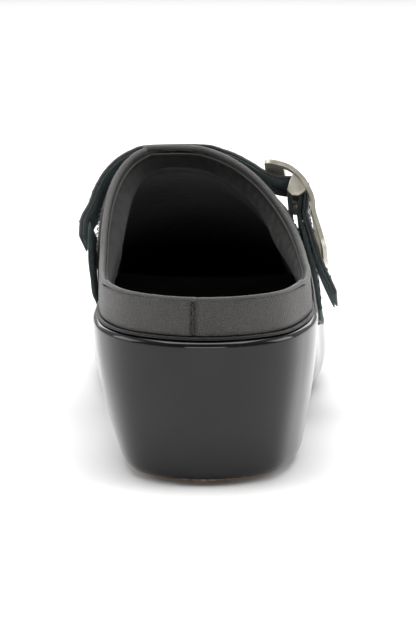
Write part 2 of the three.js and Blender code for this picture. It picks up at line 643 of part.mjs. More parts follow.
// Outer-side tab: folded round the buckle's bar, with a slot for the prong.
const tabWidth = STRAP_WIDTH - 2;
const tabSlot = solid(new THREE.BoxGeometry(14, 8.5, PRONG.width + 1.6))
  .translate([barPlace.x, barPlace.y + 0.6, -STRAP_WIDTH / 2]);
const tab = solid(sweep(band(tabInnerPath, -TAB_THICKNESS / 2, TAB_THICKNESS / 2, 40), 1, 1 + tabWidth))
  .subtract(tabSlot);
add('buckle_tab', geometryOf(tab), looks.suede, strapGroup);

// ---------------------------------------------------------------- buckle
/** A round piece on the bar's line, at the middle of the strap's width. */
const onBar = (radius, length, facets) => new THREE.CylinderGeometry(radius, radius, length, facets)
  .rotateX(Math.PI / 2).translate(barPlace.x, barPlace.y, -STRAP_WIDTH / 2);

const frameWindow = STRAP_WIDTH + FRAME.play;
const frameWidth = frameWindow + 2 * FRAME.rail;
const frameFrom = (STRAP_WIDTH - frameWidth) / 2;
const frameTo = frameFrom + frameWidth;
// The frame's outer face, from its upper end over the bar to its lower end.
const framePath = [
  fromBar(-10.8, 10.9), fromBar(-2.6, 8.8), fromBar(2.8, 4.6), fromBar(5.2, 0.8), fromBar(7.1, -3.8),
  ...tailPath.slice(2, 5).map((p) => p.clone().add(flat(strapStack + FRAME.clear + FRAME.thickness, 0))),
];
const frameBand = solid(sweep(band(framePath, -FRAME.thickness, 0, 24), frameFrom, frameTo));
const windowBlock = (low, high) => solid(new THREE.BoxGeometry(60, high - low, frameWindow)
  .translate(barPlace.x, barPlace.y + (low + high) / 2, -STRAP_WIDTH / 2));
const prongPath = [fromBar(-1.4, 1.4), fromBar(-3.6, 6), fromBar(-6, 9.2), fromBar(-11, 11.4)];
const prongFrom = (STRAP_WIDTH - PRONG.width) / 2;
const prongTo = prongFrom + PRONG.width;
/** The room that the prong's tongue sweeps as it lifts about the bar, up to its stop. */
function prongRoom() {
  const reach = PRONG.thickness / 2 + GAP;
  const notchPath = [...prongPath, fromBar(-13.4, 12.3)];
  const swept = [];
  for (let turn = 0; turn <= PRONG.lift + PRONG.step; turn += PRONG.step) {
    swept.push(solid(sweep(band(notchPath, -reach, reach, 12), prongFrom - GAP, prongTo + GAP))
      .translate([-barPlace.x, -barPlace.y, 0])
      .rotate([0, 0, -turn])
      .translate([barPlace.x, barPlace.y, 0]));
  }
  return wasm.Manifold.union(swept);
}
const lugs = new THREE.Shape([
  aroundBar(BAR_RADIUS + 2, 200), aroundBar(BAR_RADIUS + 2, 290), fromBar(4.2, -0.6), fromBar(2.4, 2.6),
  fromBar(-0.6, 5.6), aroundBar(BAR_RADIUS + 2, 130)]);
const lug = (from, to) => solid(sweep(lugs, from, to));
const barHole = solid(onBar(BAR_RADIUS + 0.3, 80, 16));
const frame = frameBand.subtract(windowBlock(-FRAME.windowFoot, FRAME.windowTop))
  .add(lug(frameFrom + 0.6, frameFrom + FRAME.rail - 1))
  .add(lug(frameTo - FRAME.rail + 1, frameTo - 0.6))
  .subtract(barHole)
  .subtract(prongRoom());
add('buckle_frame', geometryOf(frame), looks.metal, strapGroup);
add('buckle_bar', onBar(BAR_RADIUS, frameWidth - 2.4, 16), looks.metal, strapGroup);

// The prong: an eye round the bar and a flat tongue that lies over the strap to the frame's upper end.
const eye = solid(onBar(BAR_RADIUS + PRONG.thickness, PRONG.width, 20));
const tongueBand = band(prongPath, -PRONG.thickness / 2, PRONG.thickness / 2, 14);
const tongue = solid(sweep(tongueBand, prongFrom, prongTo));
const eyeHole = solid(onBar(BAR_RADIUS + 0.1, 10, 16));
add('buckle_prong', geometryOf(eye.add(tongue).subtract(eyeHole)), looks.metal, strapGroup);

export default clog;
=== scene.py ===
import math
import bmesh
import bpy
import numpy as np
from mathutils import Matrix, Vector, noise

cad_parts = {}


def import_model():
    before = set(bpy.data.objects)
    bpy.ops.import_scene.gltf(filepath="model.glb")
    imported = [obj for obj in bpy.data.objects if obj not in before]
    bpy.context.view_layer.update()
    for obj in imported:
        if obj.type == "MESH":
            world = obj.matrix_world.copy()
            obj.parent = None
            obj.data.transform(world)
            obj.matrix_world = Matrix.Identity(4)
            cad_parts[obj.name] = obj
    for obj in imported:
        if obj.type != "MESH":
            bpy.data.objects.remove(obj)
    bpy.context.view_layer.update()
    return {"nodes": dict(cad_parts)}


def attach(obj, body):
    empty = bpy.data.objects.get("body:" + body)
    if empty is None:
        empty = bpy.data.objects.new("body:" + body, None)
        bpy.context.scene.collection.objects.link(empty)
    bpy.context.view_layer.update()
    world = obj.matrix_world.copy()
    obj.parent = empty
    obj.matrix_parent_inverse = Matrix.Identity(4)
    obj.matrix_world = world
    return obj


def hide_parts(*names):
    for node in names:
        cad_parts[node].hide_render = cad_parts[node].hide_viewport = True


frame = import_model()

MM = 0.001
scene = bpy.context.scene

# ---- driving dimensions, as in the CAD source (mm)
SOLE_LENGTH, HEEL_SETBACK, HEEL_HEIGHT, PLATFORM_HEIGHT = 253, 41, 50.8, 25
TOE_SPRING, ARCH_HEIGHT = 9, 19
TAPER_MEDIAL, TAPER_LATERAL, TAPER_BACK = 10, 6.2, 6
OUTSOLE_SHOW, OUTSOLE_SUNK = 1.5, 1.7
GAP, RIM_INSET, LEATHER, LINING, STIFFENER, COLLAR_PADDING = 0.35, 2.2, 1.4, 1.1, 0.9, 4.2
RAND_INSET, RAND_WIDTH, RAND_HEIGHT = 1.2, 3.1, 1.2
INSOLE_BOARD, FOOTBED_HEEL, FOOTBED_FORE, FOOTBED_CUP, SOCK = 1.2, 5.6, 3.2, 2.6, 1.1
INSTEP_HEIGHT, BAND_TOP, THROAT_Y, TOPLINE_ROLL, PIPING_RADIUS = 99.5, 65, 70.5, 0.1, 1.15
STRAP_SETBACK, STRAP_CLEAR, STRAP_WIDTH, STRAP_LEATHER, STRAP_BACKING = 5.5, 0.85, 28, 1.1, 0.8
BAR_RADIUS, BAR_STANDOFF, BAR_DROP, TAB_THICKNESS = 1.1, 6, 18.3, 1.5
FRAME_THICKNESS, FRAME_RAIL, FRAME_PLAY, FRAME_CLEAR = 2, 4.4, 2, 0.9
WINDOW_TOP, WINDOW_FOOT = 9.2, 18.6
PRONG_WIDTH, PRONG_THICKNESS = 2.6, 1.5
TAIL_DROP, TAB_DROP, ANCHOR_TOP, ANCHOR_FOOT = 38.9, 44, 26, 54
MEDIAL, LATERAL = 1, 2


def lerp(a, b, t):
    return a + (b - a) * t


def smooth(x, low, high):
    t = np.clip((np.asarray(x, float) - low) / (high - low), 0, 1)
    return t * t * (3 - 2 * t)


def through(rows):
    """Piecewise cubic through rows [key, value, ...], as a function of key and column."""
    rows = np.array(rows, float)
    keys, values = rows[:, 0], rows[:, 1:]
    n = len(keys)
    low, high = np.maximum(np.arange(n) - 1, 0), np.minimum(np.arange(n) + 1, n - 1)
    slopes = (values[high] - values[low]) / (keys[high] - keys[low])[:, None]

    def at(key, column=1):
        key = np.asarray(key, float)
        i = np.clip(np.searchsorted(keys, key) - 1, 0, n - 2)
        span = keys[i + 1] - keys[i]
        t = np.clip((key - keys[i]) / span, 0, 1)
        c = column - 1
        return (values[i, c] * (2 * t**3 - 3 * t**2 + 1) + slopes[i, c] * span * (t**3 - 2 * t**2 + t)
                + values[i + 1, c] * (3 * t**2 - 2 * t**3) + slopes[i + 1, c] * span * (t**3 - t**2))

    return at


def spline(points, steps=24):
    """Uniform Catmull-Rom through points, sampled densely."""
    p = np.array(points, float)
    n = len(p)
    out = []
    for i in range(n - 1):
        p0, p1, p2, p3 = p[max(i - 1, 0)], p[i], p[i + 1], p[min(i + 2, n - 1)]
        v0, v1 = (p2 - p0) / 2, (p3 - p1) / 2
        for t in np.arange(steps) / steps:
            cubic, square = 2 * p1 - 2 * p2 + v0 + v1, -3 * p1 + 3 * p2 - 2 * v0 - v1
            out.append(cubic * t**3 + square * t**2 + v0 * t + p1)
    out.append(p[-1])
    return np.array(out)


def evenly(points, count):
    """Resample a polyline at equal spacing."""
    points = np.asarray(points, float)
    run = np.r_[0, np.cumsum(np.linalg.norm(np.diff(points, axis=0), axis=1))]
    want = np.linspace(0, run[-1], count)
    return np.stack([np.interp(want, run, points[:, k]) for k in range(points.shape[1])], 1)


def tangents(line):
    """Unit tangents along a polyline."""
    along = np.gradient(line, axis=0)
    return along / np.linalg.norm(along, axis=1)[:, None]


# ---- footprint and heights
def station_of(share):
    return np.arccos(1 - 2 * np.asarray(share, float)) / math.pi


OUTLINE = [[0, -1, -1], [.04, -27, 25], [.1, -36.5, 33.5], [.18, -40, 38], [.28, -39.6, 38], [.4, -39, 38.8],
           [.52, -41, 41.5], [.62, -43.5, 45], [.72, -44.5, 44.5], [.82, -43, 40.5], [.91, -37.5, 32.5],
           [.97, -26.5, 19], [1, -6, -6]]
outline = through([[station_of(r[0]), *r[1:]] for r in OUTLINE])


def along_y(u):
    return -HEEL_SETBACK + SOLE_LENGTH * (1 - np.cos(math.pi * np.asarray(u, float))) / 2


def station_at(y):
    return station_of(np.clip((np.asarray(y, float) + HEEL_SETBACK) / SOLE_LENGTH, 0, 1))


def edge(u, side, inset):
    """Footprint point on one side, moved inwards: x and y."""
    u = np.asarray(u, float)
    before, after = np.maximum(u - 1e-3, 0), np.minimum(u + 1e-3, 1)
    tx, ty = outline(after, side) - outline(before, side), along_y(after) - along_y(before)
    length = np.hypot(tx, ty)
    turn = 1 if side == MEDIAL else -1
    tx = np.where(u <= 0, -turn, np.where(u >= 1, turn, tx / length))
    ty = np.where((u <= 0) | (u >= 1), 0, ty / length)
    return outline(u, side) + turn * ty * inset, along_y(u) - turn * tx * inset


def rim_height(y):
    return lerp(HEEL_HEIGHT, PLATFORM_HEIGHT, smooth(y, 18, 118)) + TOE_SPRING * 1.2 * smooth(y, 150, 245)


def underside(y):
    arch = ARCH_HEIGHT * smooth(y, 27, 46) * (1 - smooth(y, 52, 98))
    return arch + TOE_SPRING * 1.25 * smooth(y, 140, 236)


def upper_base(y):
    return rim_height(y) + 2 * GAP + RAND_HEIGHT


RIDGE = [[0, -3, -1, 0, 0], [.16, 0, -3, 0, 0], [.32, 2, -8, 1.5, 0], [.44, .2, -10, 3, .5],
         [.465, -3, -10, 3, .6], [.52, -8.5, -9, 2.5, 1], [.62, -18.5, -7, 1, 1], [.72, -29, -5, 0, .5],
         [.82, -38.5, -6, 0, 0], [.92, -47.5, -7, 0, 0], [.97, -53.5, -7, 0, 0], [1, -61, -7, 0, 0]]
ridge = through([[station_of(r[0]), *r[1:]] for r in RIDGE])


def ridge_height(u):
    return INSTEP_HEIGHT + ridge(u, 1)


def form_point(u, side, s, depth):
    """Points of the upper's form at station, side, height share and depth under the outer face."""
    u, s = np.broadcast_arrays(np.asarray(u, float), np.asarray(s, float))
    mx, my = edge(u, MEDIAL, RIM_INSET + depth)
    lx, ly = edge(u, LATERAL, RIM_INSET + depth)
    base_x, base_y = (mx, my) if side == MEDIAL else (lx, ly)
    crest_x, crest_y = (mx + lx) / 2, (my + ly) / 2
    spread = 1 - np.abs(2 * u - 1) ** 8
    top_x = lerp(crest_x, ridge(u, 2), spread * 0.999)
    y = along_y(u)
    instep = smooth(y, 5, 60) * (1 - smooth(y, 90, 140))
    power = lerp(2.3, 3.6 if side == MEDIAL else 2, instep)
    reach = np.maximum(0, 1 - s**power) ** (1 / power)
    bulge = (-ridge(u, 3) if side == MEDIAL else ridge(u, 4)) * np.sin(math.pi * s)
    low, high = upper_base(base_y), ridge_height(u) - depth
    x = lerp(top_x, base_x, reach) + bulge * reach
    return np.stack([x, lerp(crest_y, base_y, reach), lerp(low, high, s)], -1)


# The foot opening's edge in side view, with its height rolling down towards the outer side.
TOPLINE = spline([(-HEEL_SETBACK - 20, BAND_TOP), (-22, BAND_TOP), (-4, BAND_TOP - .8),
                  (THROAT_Y - 52, BAND_TOP + 1.6), (THROAT_Y - 36, BAND_TOP + 7),
                  (THROAT_Y - 22, lerp(BAND_TOP, INSTEP_HEIGHT, .426)),
                  (THROAT_Y - 11, lerp(BAND_TOP, INSTEP_HEIGHT, .664)),
                  (THROAT_Y - 4, lerp(BAND_TOP, INSTEP_HEIGHT, .861)),
                  (THROAT_Y, INSTEP_HEIGHT + .5), (THROAT_Y + 1.5, INSTEP_HEIGHT + 9)])


def above_edge(p, lowered=0.0):
    """How far points lie above the opening's edge, lowered by a distance across it."""
    tangent = tangents(TOPLINE)
    line = TOPLINE + np.stack([tangent[:, 1], -tangent[:, 0]], 1) * lowered
    x, y, z = p[..., 0], p[..., 1], p[..., 2]
    height = np.interp(y, line[:, 0], line[:, 1]) - TOPLINE_ROLL * smooth(y, 0, 45) * x
    return np.where(y > line[-1, 0], -5, z - height)


def middle_layer(y, s):
    padded = smooth(y, 22, 52) * (1 - smooth(y, 98, 135)) * smooth(s, 0.08, 0.4)
    return lerp(STIFFENER, COLLAR_PADDING, padded)


# ---- mesh helpers
def grid_faces(rows, columns, first=0, closed=False, turned=False):
    """Quads of a grid of points stored row by row."""
    faces = []
    for i in range(rows - 1):
        for j in range(columns if closed else columns - 1):
            k = (j + 1) % columns
            quad = (first + i * columns + j, first + i * columns + k,
                    first + (i + 1) * columns + k, first + (i + 1) * columns + j)
            faces.append(quad[::-1] if turned else quad)
    return faces


def tube_faces(rows, around, turned=False):
    """Faces of rings of points stored one after the other, with both ends capped."""
    last = (rows - 1) * around
    return (grid_faces(rows, around, closed=True, turned=turned)
            + [tuple(range(around)), tuple(range(last, last + around))[::-1]])


def slab_faces(rows, columns):
    """Faces of two equal grids of points, joined round their border."""
    count = rows * columns
    border = [i * columns for i in range(rows)]
    border += [(rows - 1) * columns + k for k in range(1, columns)]
    border += [i * columns + columns - 1 for i in range(rows - 2, -1, -1)]
    border += list(range(columns - 2, 0, -1))
    return (grid_faces(rows, columns) + grid_faces(rows, columns, count, turned=True)
            + [(a, b, b + count, a + count) for a, b in zip(border, border[1:] + border[:1])])


def clip(points, faces, value):
    """Keep the part of a mesh where value is negative, cutting faces along its zero line."""
    points, kept, made = [tuple(p) for p in points], [], {}

    def cut(a, b):
        key = (min(a, b), max(a, b))
        if key not in made:
            t = value[key[0]] / (value[key[0]] - value[key[1]])
            made[key] = len(points)
            points.append(tuple(lerp(np.array(points[key[0]]), np.array(points[key[1]]), t)))
        return made[key]

    for face in faces:
        inside = [value[v] < 0 for v in face]
        if all(inside):
            kept.append(face)
        elif any(inside):
            ring = []
            for k, v in enumerate(face):
                w = face[(k + 1) % len(face)]
                if value[v] < 0:
                    ring.append(v)
                if (value[v] < 0) != (value[w] < 0):
                    ring.append(cut(v, w))
            if len(ring) > 2:
                kept.append(tuple(ring))
    return np.array(points), kept


def make(name, points, faces, material, body="root", slot=None, replaces=(), outward=False):
    """A named mesh object from points in millimetres."""
    bm = bmesh.new()
    verts = [bm.verts.new(Vector(p) * MM) for p in points]
    for face in faces:
        ring = [verts[v] for v in face]
        if len(set(ring)) == len(ring):
            try:
                bm.faces.new(ring)
            except ValueError:
                pass
    bmesh.ops.remove_doubles(bm, verts=bm.verts, dist=2e-6)
    bmesh.ops.delete(bm, geom=[v for v in bm.verts if not v.link_faces], context='VERTS')
    if outward:
        bmesh.ops.recalc_face_normals(bm, faces=bm.faces)
    mesh = bpy.data.meshes.new(name)
    bm.to_mesh(mesh)
    bm.free()
    mesh.shade_smooth()
    piece = bpy.data.objects.new(name, mesh)
    scene.collection.objects.link(piece)
    mesh.materials.append(material)
    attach(piece, body)
    if replaces:
        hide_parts(*replaces)
    return piece


def apply(piece, kind, **settings):
    """Add a modifier and apply it straight away."""
    modifier = piece.modifiers.new(kind.title(), kind)
    for key, value in settings.items():
        setattr(modifier, key, value)
    bpy.context.view_layer.update()
    graph = bpy.context.evaluated_depsgraph_get()
    mesh = bpy.data.meshes.new_from_object(piece.evaluated_get(graph))
    piece.modifiers.clear()
    old, piece.data = piece.data, mesh
    mesh.name = piece.name
    bpy.data.meshes.remove(old)
    mesh.shade_smooth()


def join_meshes(parts):
    """Several (points, faces) sets as one."""
    points, faces, first = [], [], 0
    for some, rings in parts:
        points.extend(some)
        faces.extend(tuple(v + first for v in ring) for ring in rings)
        first += len(some)
    return points, faces


# ---- materials
def new_node(tree, kind, **values):
    """A shader node with its sockets linked or set by name, and its other settings set."""
    node = tree.nodes.new(kind)
    for key, value in values.items():
        socket = key.replace("_", " ")
        if isinstance(value, bpy.types.NodeSocket):
            tree.links.new(value, node.inputs[socket])
        elif socket in node.inputs:
            node.inputs[socket].default_value = value
        else:
            setattr(node, key, value)
    return node


class Look:
    """A procedural material: a principled shader with its own textures, sized in millimetres."""

    def __init__(self, name, base, roughness, **settings):
        self.material = bpy.data.materials.new(name)
        self.material.use_nodes = True
        self.tree = self.material.node_tree
        self.shader = self.tree.nodes["Principled BSDF"]
        self.shader.inputs["Base Color"].default_value = (*base, 1)
        self.shader.inputs["Roughness"].default_value = roughness
        for key, value in settings.items():
            self.shader.inputs[key.replace("_", " ")].default_value = value
        self.place = self.tree.nodes.new("ShaderNodeTexCoord").outputs["Object"]
        self.normal = None
        self.material.diffuse_color = (*base, 1)

    def node(self, kind, **values):
        return new_node(self.tree, kind, **values)

    def stretched(self, scale=(1, 1, 1), turn=(0, 0, 0)):
        return self.node("ShaderNodeMapping", Vector=self.place, Scale=scale, Rotation=turn).outputs["Vector"]

    def noise(self, size, detail=4, where=None, roughness=0.5):
        return self.node("ShaderNodeTexNoise", Vector=where or self.place, Detail=detail, Roughness=roughness,
                         Scale=1000 / size).outputs["Fac"]

    def cells(self, size, feature="F1", where=None, randomness=1.0):
        return self.node("ShaderNodeTexVoronoi", Vector=where or self.place, feature=feature,
                         Scale=1000 / size, Randomness=randomness).outputs["Distance"]

    def wave(self, size, where=None, distortion=0.0, direction='X'):
        return self.node("ShaderNodeTexWave", Vector=where or self.place, bands_direction=direction,
                         Scale=50 / size, Distortion=distortion).outputs["Fac"]

    def span(self, value, low, high, start=0.0, end=1.0):
        return self.node("ShaderNodeMapRange", Value=value, From_Min=start, From_Max=end, To_Min=low,
                         To_Max=high).outputs["Result"]

    def blend(self, a, b, share):
        """Two texture values added, the first with the given share."""
        return self.mixed(self.mixed(a, share, 'MULTIPLY'), self.mixed(b, 1 - share, 'MULTIPLY'))

    def colours(self, value, *stops):
        node = self.node("ShaderNodeValToRGB", Fac=value)
        ramp = node.color_ramp
        while len(ramp.elements) < len(stops):
            ramp.elements.new(0.5)
        for element, (place, colour) in zip(ramp.elements, stops):
            element.position = place
            element.color = (*colour, 1)
        self.tree.links.new(node.outputs["Color"], self.shader.inputs["Base Color"])
        return self

    def rough(self, value, low, high, start=0.3, end=0.7):
        self.tree.links.new(self.span(value, low, high, start, end), self.shader.inputs["Roughness"])
        return self

    def bump(self, value, height):
        """Relief of a texture value, its height in millimetres."""
        node = self.node("ShaderNodeBump", Height=value, Distance=height * MM, Strength=1.0)
        if self.normal:
            self.tree.links.new(self.normal, node.inputs["Normal"])
        self.normal = node.outputs["Normal"]
        self.tree.links.new(self.normal, self.shader.inputs["Normal"])
        return self

    def mixed(self, a, b, kind='ADD'):
        node = self.node("ShaderNodeMath", operation=kind)
        for k, value in enumerate((a, b)):
            if isinstance(value, bpy.types.NodeSocket):
                self.tree.links.new(value, node.inputs[k])
            else:
                node.inputs[k].default_value = value
        return node.outputs[0]


def lacquer():
    look = Look("black_lacquer", (0.004, 0.004, 0.0055), 0.1, Coat_Weight=0.12, Coat_Roughness=0.05,
                Specular_IOR_Level=0.34)
    grain = look.noise(9, 6, look.stretched((1, 0.12, 1)))
    look.colours(grain, (0.35, (0.003, 0.003, 0.0042)), (0.7, (0.0065, 0.0062, 0.0075)))
    scratches = look.noise(1.4, 8, look.stretched((1, 1, 0.06), (0.2, 0.1, 0)), 0.7)
    look.rough(look.mixed(look.noise(22, 3), scratches, 'MULTIPLY'), 0.07, 0.2, 0.15, 0.4)
    look.bump(look.noise(7, 2), 0.035).bump(grain, 0.012).bump(scratches, 0.003)
    return look.material


def leather(name, dark, light, roughness=(0.42, 0.6), grain=0.95, depth=0.16, sheen=0.15):
    look = Look(name, dark, roughness[0], Sheen_Weight=sheen, Sheen_Roughness=0.4,
                Specular_IOR_Level=0.45)
    stir = look.node("ShaderNodeTexNoise", Vector=look.place, Scale=700)
    shift = look.node("ShaderNodeVectorMath", operation='SCALE', Vector=stir.outputs["Color"], Scale=0.0006)
    warp = look.node("ShaderNodeVectorMath", operation='ADD', Vector=look.place)
    look.tree.links.new(shift.outputs[0], warp.inputs[1])
    pebbles = look.cells(grain, "DISTANCE_TO_EDGE", warp.outputs[0])
    valleys = look.span(pebbles, 0, 1, 0, 0.22)
    fine = look.noise(0.35, 4)
    blotches = look.noise(14, 5)
    look.colours(look.blend(blotches, valleys, 0.75),
                 (0.25, dark), (0.72, light))
    look.rough(look.mixed(blotches, look.mixed(fine, 0.2, 'MULTIPLY')), *roughness, 0.4, 0.8)
    look.bump(look.noise(11, 3), 0.25).bump(valleys, depth).bump(fine, 0.05)
    return look.material


def suede(name, dark, light):
    look = Look(name, dark, 0.95, Sheen_Weight=0.35, Sheen_Roughness=0.45, Sheen_Tint=(0.55, 0.68, 0.7, 1),
                Specular_IOR_Level=0.15)
    nap = look.noise(0.5, 7, look.stretched((1, 1, 0.45)), 0.7)
    brushed = look.noise(9, 4, look.stretched((1, 0.5, 0.7)))
    look.colours(look.blend(brushed, nap, 0.5),
                 (0.35, dark), (0.66, light))
    look.rough(nap, 0.8, 1.0)
    look.bump(brushed, 0.2).bump(nap, 0.22)
    return look.material


def knit():
    look = Look("brushed_knit", (0.012, 0.012, 0.0112), 0.95, Sheen_Weight=0.14, Sheen_Roughness=0.6,
                Specular_IOR_Level=0.12)
    ribs = look.wave(0.9, look.stretched((1, 1, 0.25), (0.3, 0.0, 0.78)), 1.2)
    rows = look.wave(1.1, look.stretched((1, 1, 1), (0.1, 0.9, 0.2)), 1.5, 'Z')
    fuzz = look.noise(0.45, 6, None, 0.7)
    pills = look.noise(3.2, 5)
    weave = look.mixed(ribs, rows, 'MULTIPLY')
    look.colours(look.blend(pills, fuzz, 0.55),
                 (0.34, (0.006, 0.006, 0.0056)), (0.66, (0.02, 0.0196, 0.0184)))
    look.rough(fuzz, 0.85, 1.0)
    look.bump(pills, 0.3).bump(weave, 0.18).bump(fuzz, 0.18)
    return look.material


# Painted shade: the footbed cloth is coloured almost black and given no specular reflection, so the inside of
# the shoe stays dark as if in shade.
def footbed_cloth():
    look = Look("footbed_painted_shade_microfibre", (0.001, 0.001, 0.001), 0.95,
                Specular_IOR_Level=0.0)
    nap = look.noise(0.4, 6, look.stretched((1, 0.5, 1)), 0.7)
    worn = look.noise(18, 4)
    holes = look.span(look.cells(4.2, "F1", None, 0.0), 0, 1, 0.10, 0.16)
    look.colours(look.blend(worn, nap, 0.6),
                 (0.35, (0.0004, 0.0004, 0.0004)), (0.68, (0.0014, 0.0014, 0.0013)))
    look.rough(worn, 0.8, 0.98)
    look.bump(holes, 0.3).bump(nap, 0.15)
    return look.material


def rubber():
    look = Look("tan_rubber", (0.6, 0.4, 0.24), 0.7,
                Specular_IOR_Level=0.3)
    specks = look.noise(0.8, 6, None, 0.7)
    scuffs = look.noise(12, 5)
    look.colours(look.blend(scuffs, specks, 0.6),
                 (0.3, (0.5, 0.31, 0.17)), (0.55, (0.62, 0.42, 0.26)), (0.78, (0.72, 0.52, 0.34)))
    look.rough(scuffs, 0.6, 0.85)
    look.bump(specks, 0.09).bump(scuffs, 0.1)
    return look.material


def metal():
    look = Look("brushed_pewter", (0.7, 0.66, 0.56), 0.4, Metallic=1.0, Anisotropic=0.3)
    brushing = look.noise(0.5, 5, look.stretched((1, 0.04, 1), (0.3, 0, 0)), 0.65)
    patina = look.noise(4, 5)
    look.colours(look.blend(patina, brushing, 0.7),
                 (0.3, (0.55, 0.515, 0.43)), (0.55, (0.7, 0.665, 0.57)), (0.8, (0.82, 0.79, 0.71)))
    look.rough(look.mixed(patina, brushing, 'MULTIPLY'), 0.4, 0.6, 0.12, 0.4)
    look.bump(brushing, 0.03).bump(patina, 0.05)
    return look.material


def thread():
    look = Look("waxed_thread", (0.006, 0.006, 0.006), 0.6, Sheen_Weight=0.04)
    twist = look.wave(0.5, look.stretched((1, 1, 1), (0.5, 0.6, 0.4)), 0.5)
    look.colours(look.noise(1.2, 3), (0.3, (0.003, 0.003, 0.003)), (0.7, (0.012, 0.012, 0.0118)))
    look.rough(look.noise(0.6, 3), 0.45, 0.7)
    look.bump(twist, 0.08)
    return look.material


def fibre():
    look = Look("pressed_fibre", (0.14, 0.1, 0.06), 0.85)
    strands = look.noise(1.0, 7, look.stretched((1, 0.3, 1)), 0.7)
    look.colours(strands, (0.35, (0.09, 0.06, 0.035)), (0.65, (0.2, 0.15, 0.09)))
    look.rough(strands, 0.75, 0.95)
    look.bump(strands, 0.1)
    return look.material


def floor_look():
    look = Look("pale_floor", (0.92, 0.92, 0.92), 0.6,
                Specular_IOR_Level=0.2)
    tone = look.noise(400, 3)
    look.colours(tone, (0.3, (0.91, 0.91, 0.915)), (0.7, (0.935, 0.935, 0.93)))
    look.bump(look.noise(3, 3), 0.02)
    return look.material


LACQUER, RUBBER, METAL, THREAD = lacquer(), rubber(), metal(), thread()
UPPER = leather("grained_leather", (0.028, 0.0265, 0.0245), (0.06, 0.057, 0.053))
PIPING = leather("piping_leather", (0.035, 0.034, 0.032), (0.07, 0.068, 0.064), (0.4, 0.52), 0.7, 0.08)
STRAP = leather("strap_leather", (0.038, 0.0398, 0.0394), (0.075, 0.078, 0.077), (0.42, 0.6), 0.85, 0.12)
# Painted shade: the rand's leather is coloured far darker than the upper's and has no sheen, so the strip
# between sole and upper reads as a dark groove.
RAND = leather("rand_leather_painted_groove_shade", (0.004, 0.004, 0.0042), (0.011, 0.011, 0.0108), (0.3, 0.45), 0.6, 0.05, 0.0)
SUEDE = suede("dark_suede", (0.03, 0.039, 0.0395), (0.078, 0.094, 0.095))
KNIT, FOOTBED, FIBRE = knit(), footbed_cloth(), fibre()

# ---- sole
def loop_at(stations, inset_of, height_of):
    """Closed ring round the footprint: up the inner side, back down the outer side."""
    ring = []
    for side, run in ((MEDIAL, stations), (LATERAL, stations[::-1][1:-1])):
        x, y = edge(run, side, inset_of(along_y(run), side))
        ring.extend(np.stack([x, y, height_of(y)], 1))
    return np.array(ring)


def wall_inset(y, side, h):
    taper = lerp(TAPER_BACK, TAPER_MEDIAL if side == MEDIAL else TAPER_LATERAL, smooth(y, -HEEL_SETBACK, -3))
    heel = taper * (1 - h) ** 1.8
    fore = 4.5 * (1 - h / .58) ** 2 if h < .58 else .8 * ((h - .58) / .42) ** 2
    foot = 3 * (1 - math.sqrt(1 - max(0, 1 - h / .06) ** 2))
    lip = 1.3 * max(0, (h - .962) / .038) ** 2.4
    return lerp(heel, fore, smooth(y, 35, 95)) + foot + lip


def strips(first, half, turned):
    """Quads across a ring of the footprint, from its inner to its outer side."""
    faces = []
    count = 2 * half - 2
    for i in range(half - 1):
        a, b = i, i + 1
        c, d = (count - i - 1) % count, (count - i) % count
        ring = [first + v for v in ((a, b, c, d) if i else (a, b, c))]
        if i == half - 2:
            ring = [first + v for v in (a, b, (count - i) % count)]
        faces.append(tuple(ring[::-1] if turned else ring))
    return faces


FINE = np.linspace(0, 1, 161)
LEVELS = [0, .006, .015, .03, .06, .1, .16, .24, .33, .43, .53, .63, .73, .81, .88, .93, .955, .968, .978,
          .987, .994, 1]


def sole():
    points = []
    for h in LEVELS:
        points.extend(loop_at(FINE, lambda y, side: wall_inset(y, side, h),
                              lambda y: lerp(underside(y) + OUTSOLE_SHOW, rim_height(y), h)))
    around = 2 * len(FINE) - 2
    faces = grid_faces(len(LEVELS), around, closed=True)
    faces += strips(0, len(FINE), True) + strips((len(LEVELS) - 1) * around, len(FINE), False)
    return make("sole_lacquer", points, faces, LACQUER, slot="lacquered_wood", replaces=["sole_body"],
                outward=True)


def tread(name, node, low, high, inset, blocks):
    """Outsole plate with rounded edges and moulded tread blocks."""
    stations = np.linspace(low, high, int((along_y(high) - along_y(low)) / 0.9))
    across = 66
    points = []
    for level in ("top", "under"):
        for u in stations:
            mx, my = edge(u, MEDIAL, inset)
            lx, ly = edge(u, LATERAL, inset)
            for k in range(across + 1):
                t = k / across
                x, y = lerp(mx, lx, t), lerp(my, ly, t)
                if level == "top":
                    points.append((x, y, underside(y) + OUTSOLE_SHOW + OUTSOLE_SUNK))
                    continue
                rim = min(t, 1 - t) * abs(lx - mx)
                groove = max(math.cos(2 * math.pi * way / blocks) ** 16 for way in (x, y + 0.35 * abs(x)))
                bevel = max(0, 1 - rim / 0.8) ** 2 * 0.5
                points.append((x, y, underside(y) + 0.75 * groove + bevel))
    faces = slab_faces(len(stations), across + 1)
    return make(name, points, faces, RUBBER, slot="outsole_rubber", replaces=[node], outward=True)


def welt():
    """Rand between sole and upper: a rounded strip with a sunk line along its outer face."""
    profile = [(0.55, 0.0), (0.15, 0.1), (0, 0.35), (0.1, 0.52), (0.32, 0.6), (0.1, 0.7), (0.02, 0.9),
               (0.2, 1.12), (0.6, 1.2), (RAND_WIDTH, 1.2), (RAND_WIDTH, 0)]
    points = []
    for inset, rise in profile:
        points.extend(loop_at(FINE, lambda y, side: RAND_INSET + inset, lambda y: rim_height(y) + GAP + rise))
    around = 2 * len(FINE) - 2
    faces = grid_faces(len(profile), around, closed=True)
    last = (len(profile) - 1) * around
    faces += [(last + j, last + (j + 1) % around, (j + 1) % around, j) for j in range(around)]
    return make("rand_welt", points, faces, RAND, slot="upper_leather", replaces=["rand"], outward=True)


sole()
tread("heel_tread", "heel_outsole", 0.0, float(station_at(24)), 12.5, 6.4)
tread("forefoot_tread", "forefoot_outsole", float(station_at(100)), 1.0, 9, 7.2)
welt()


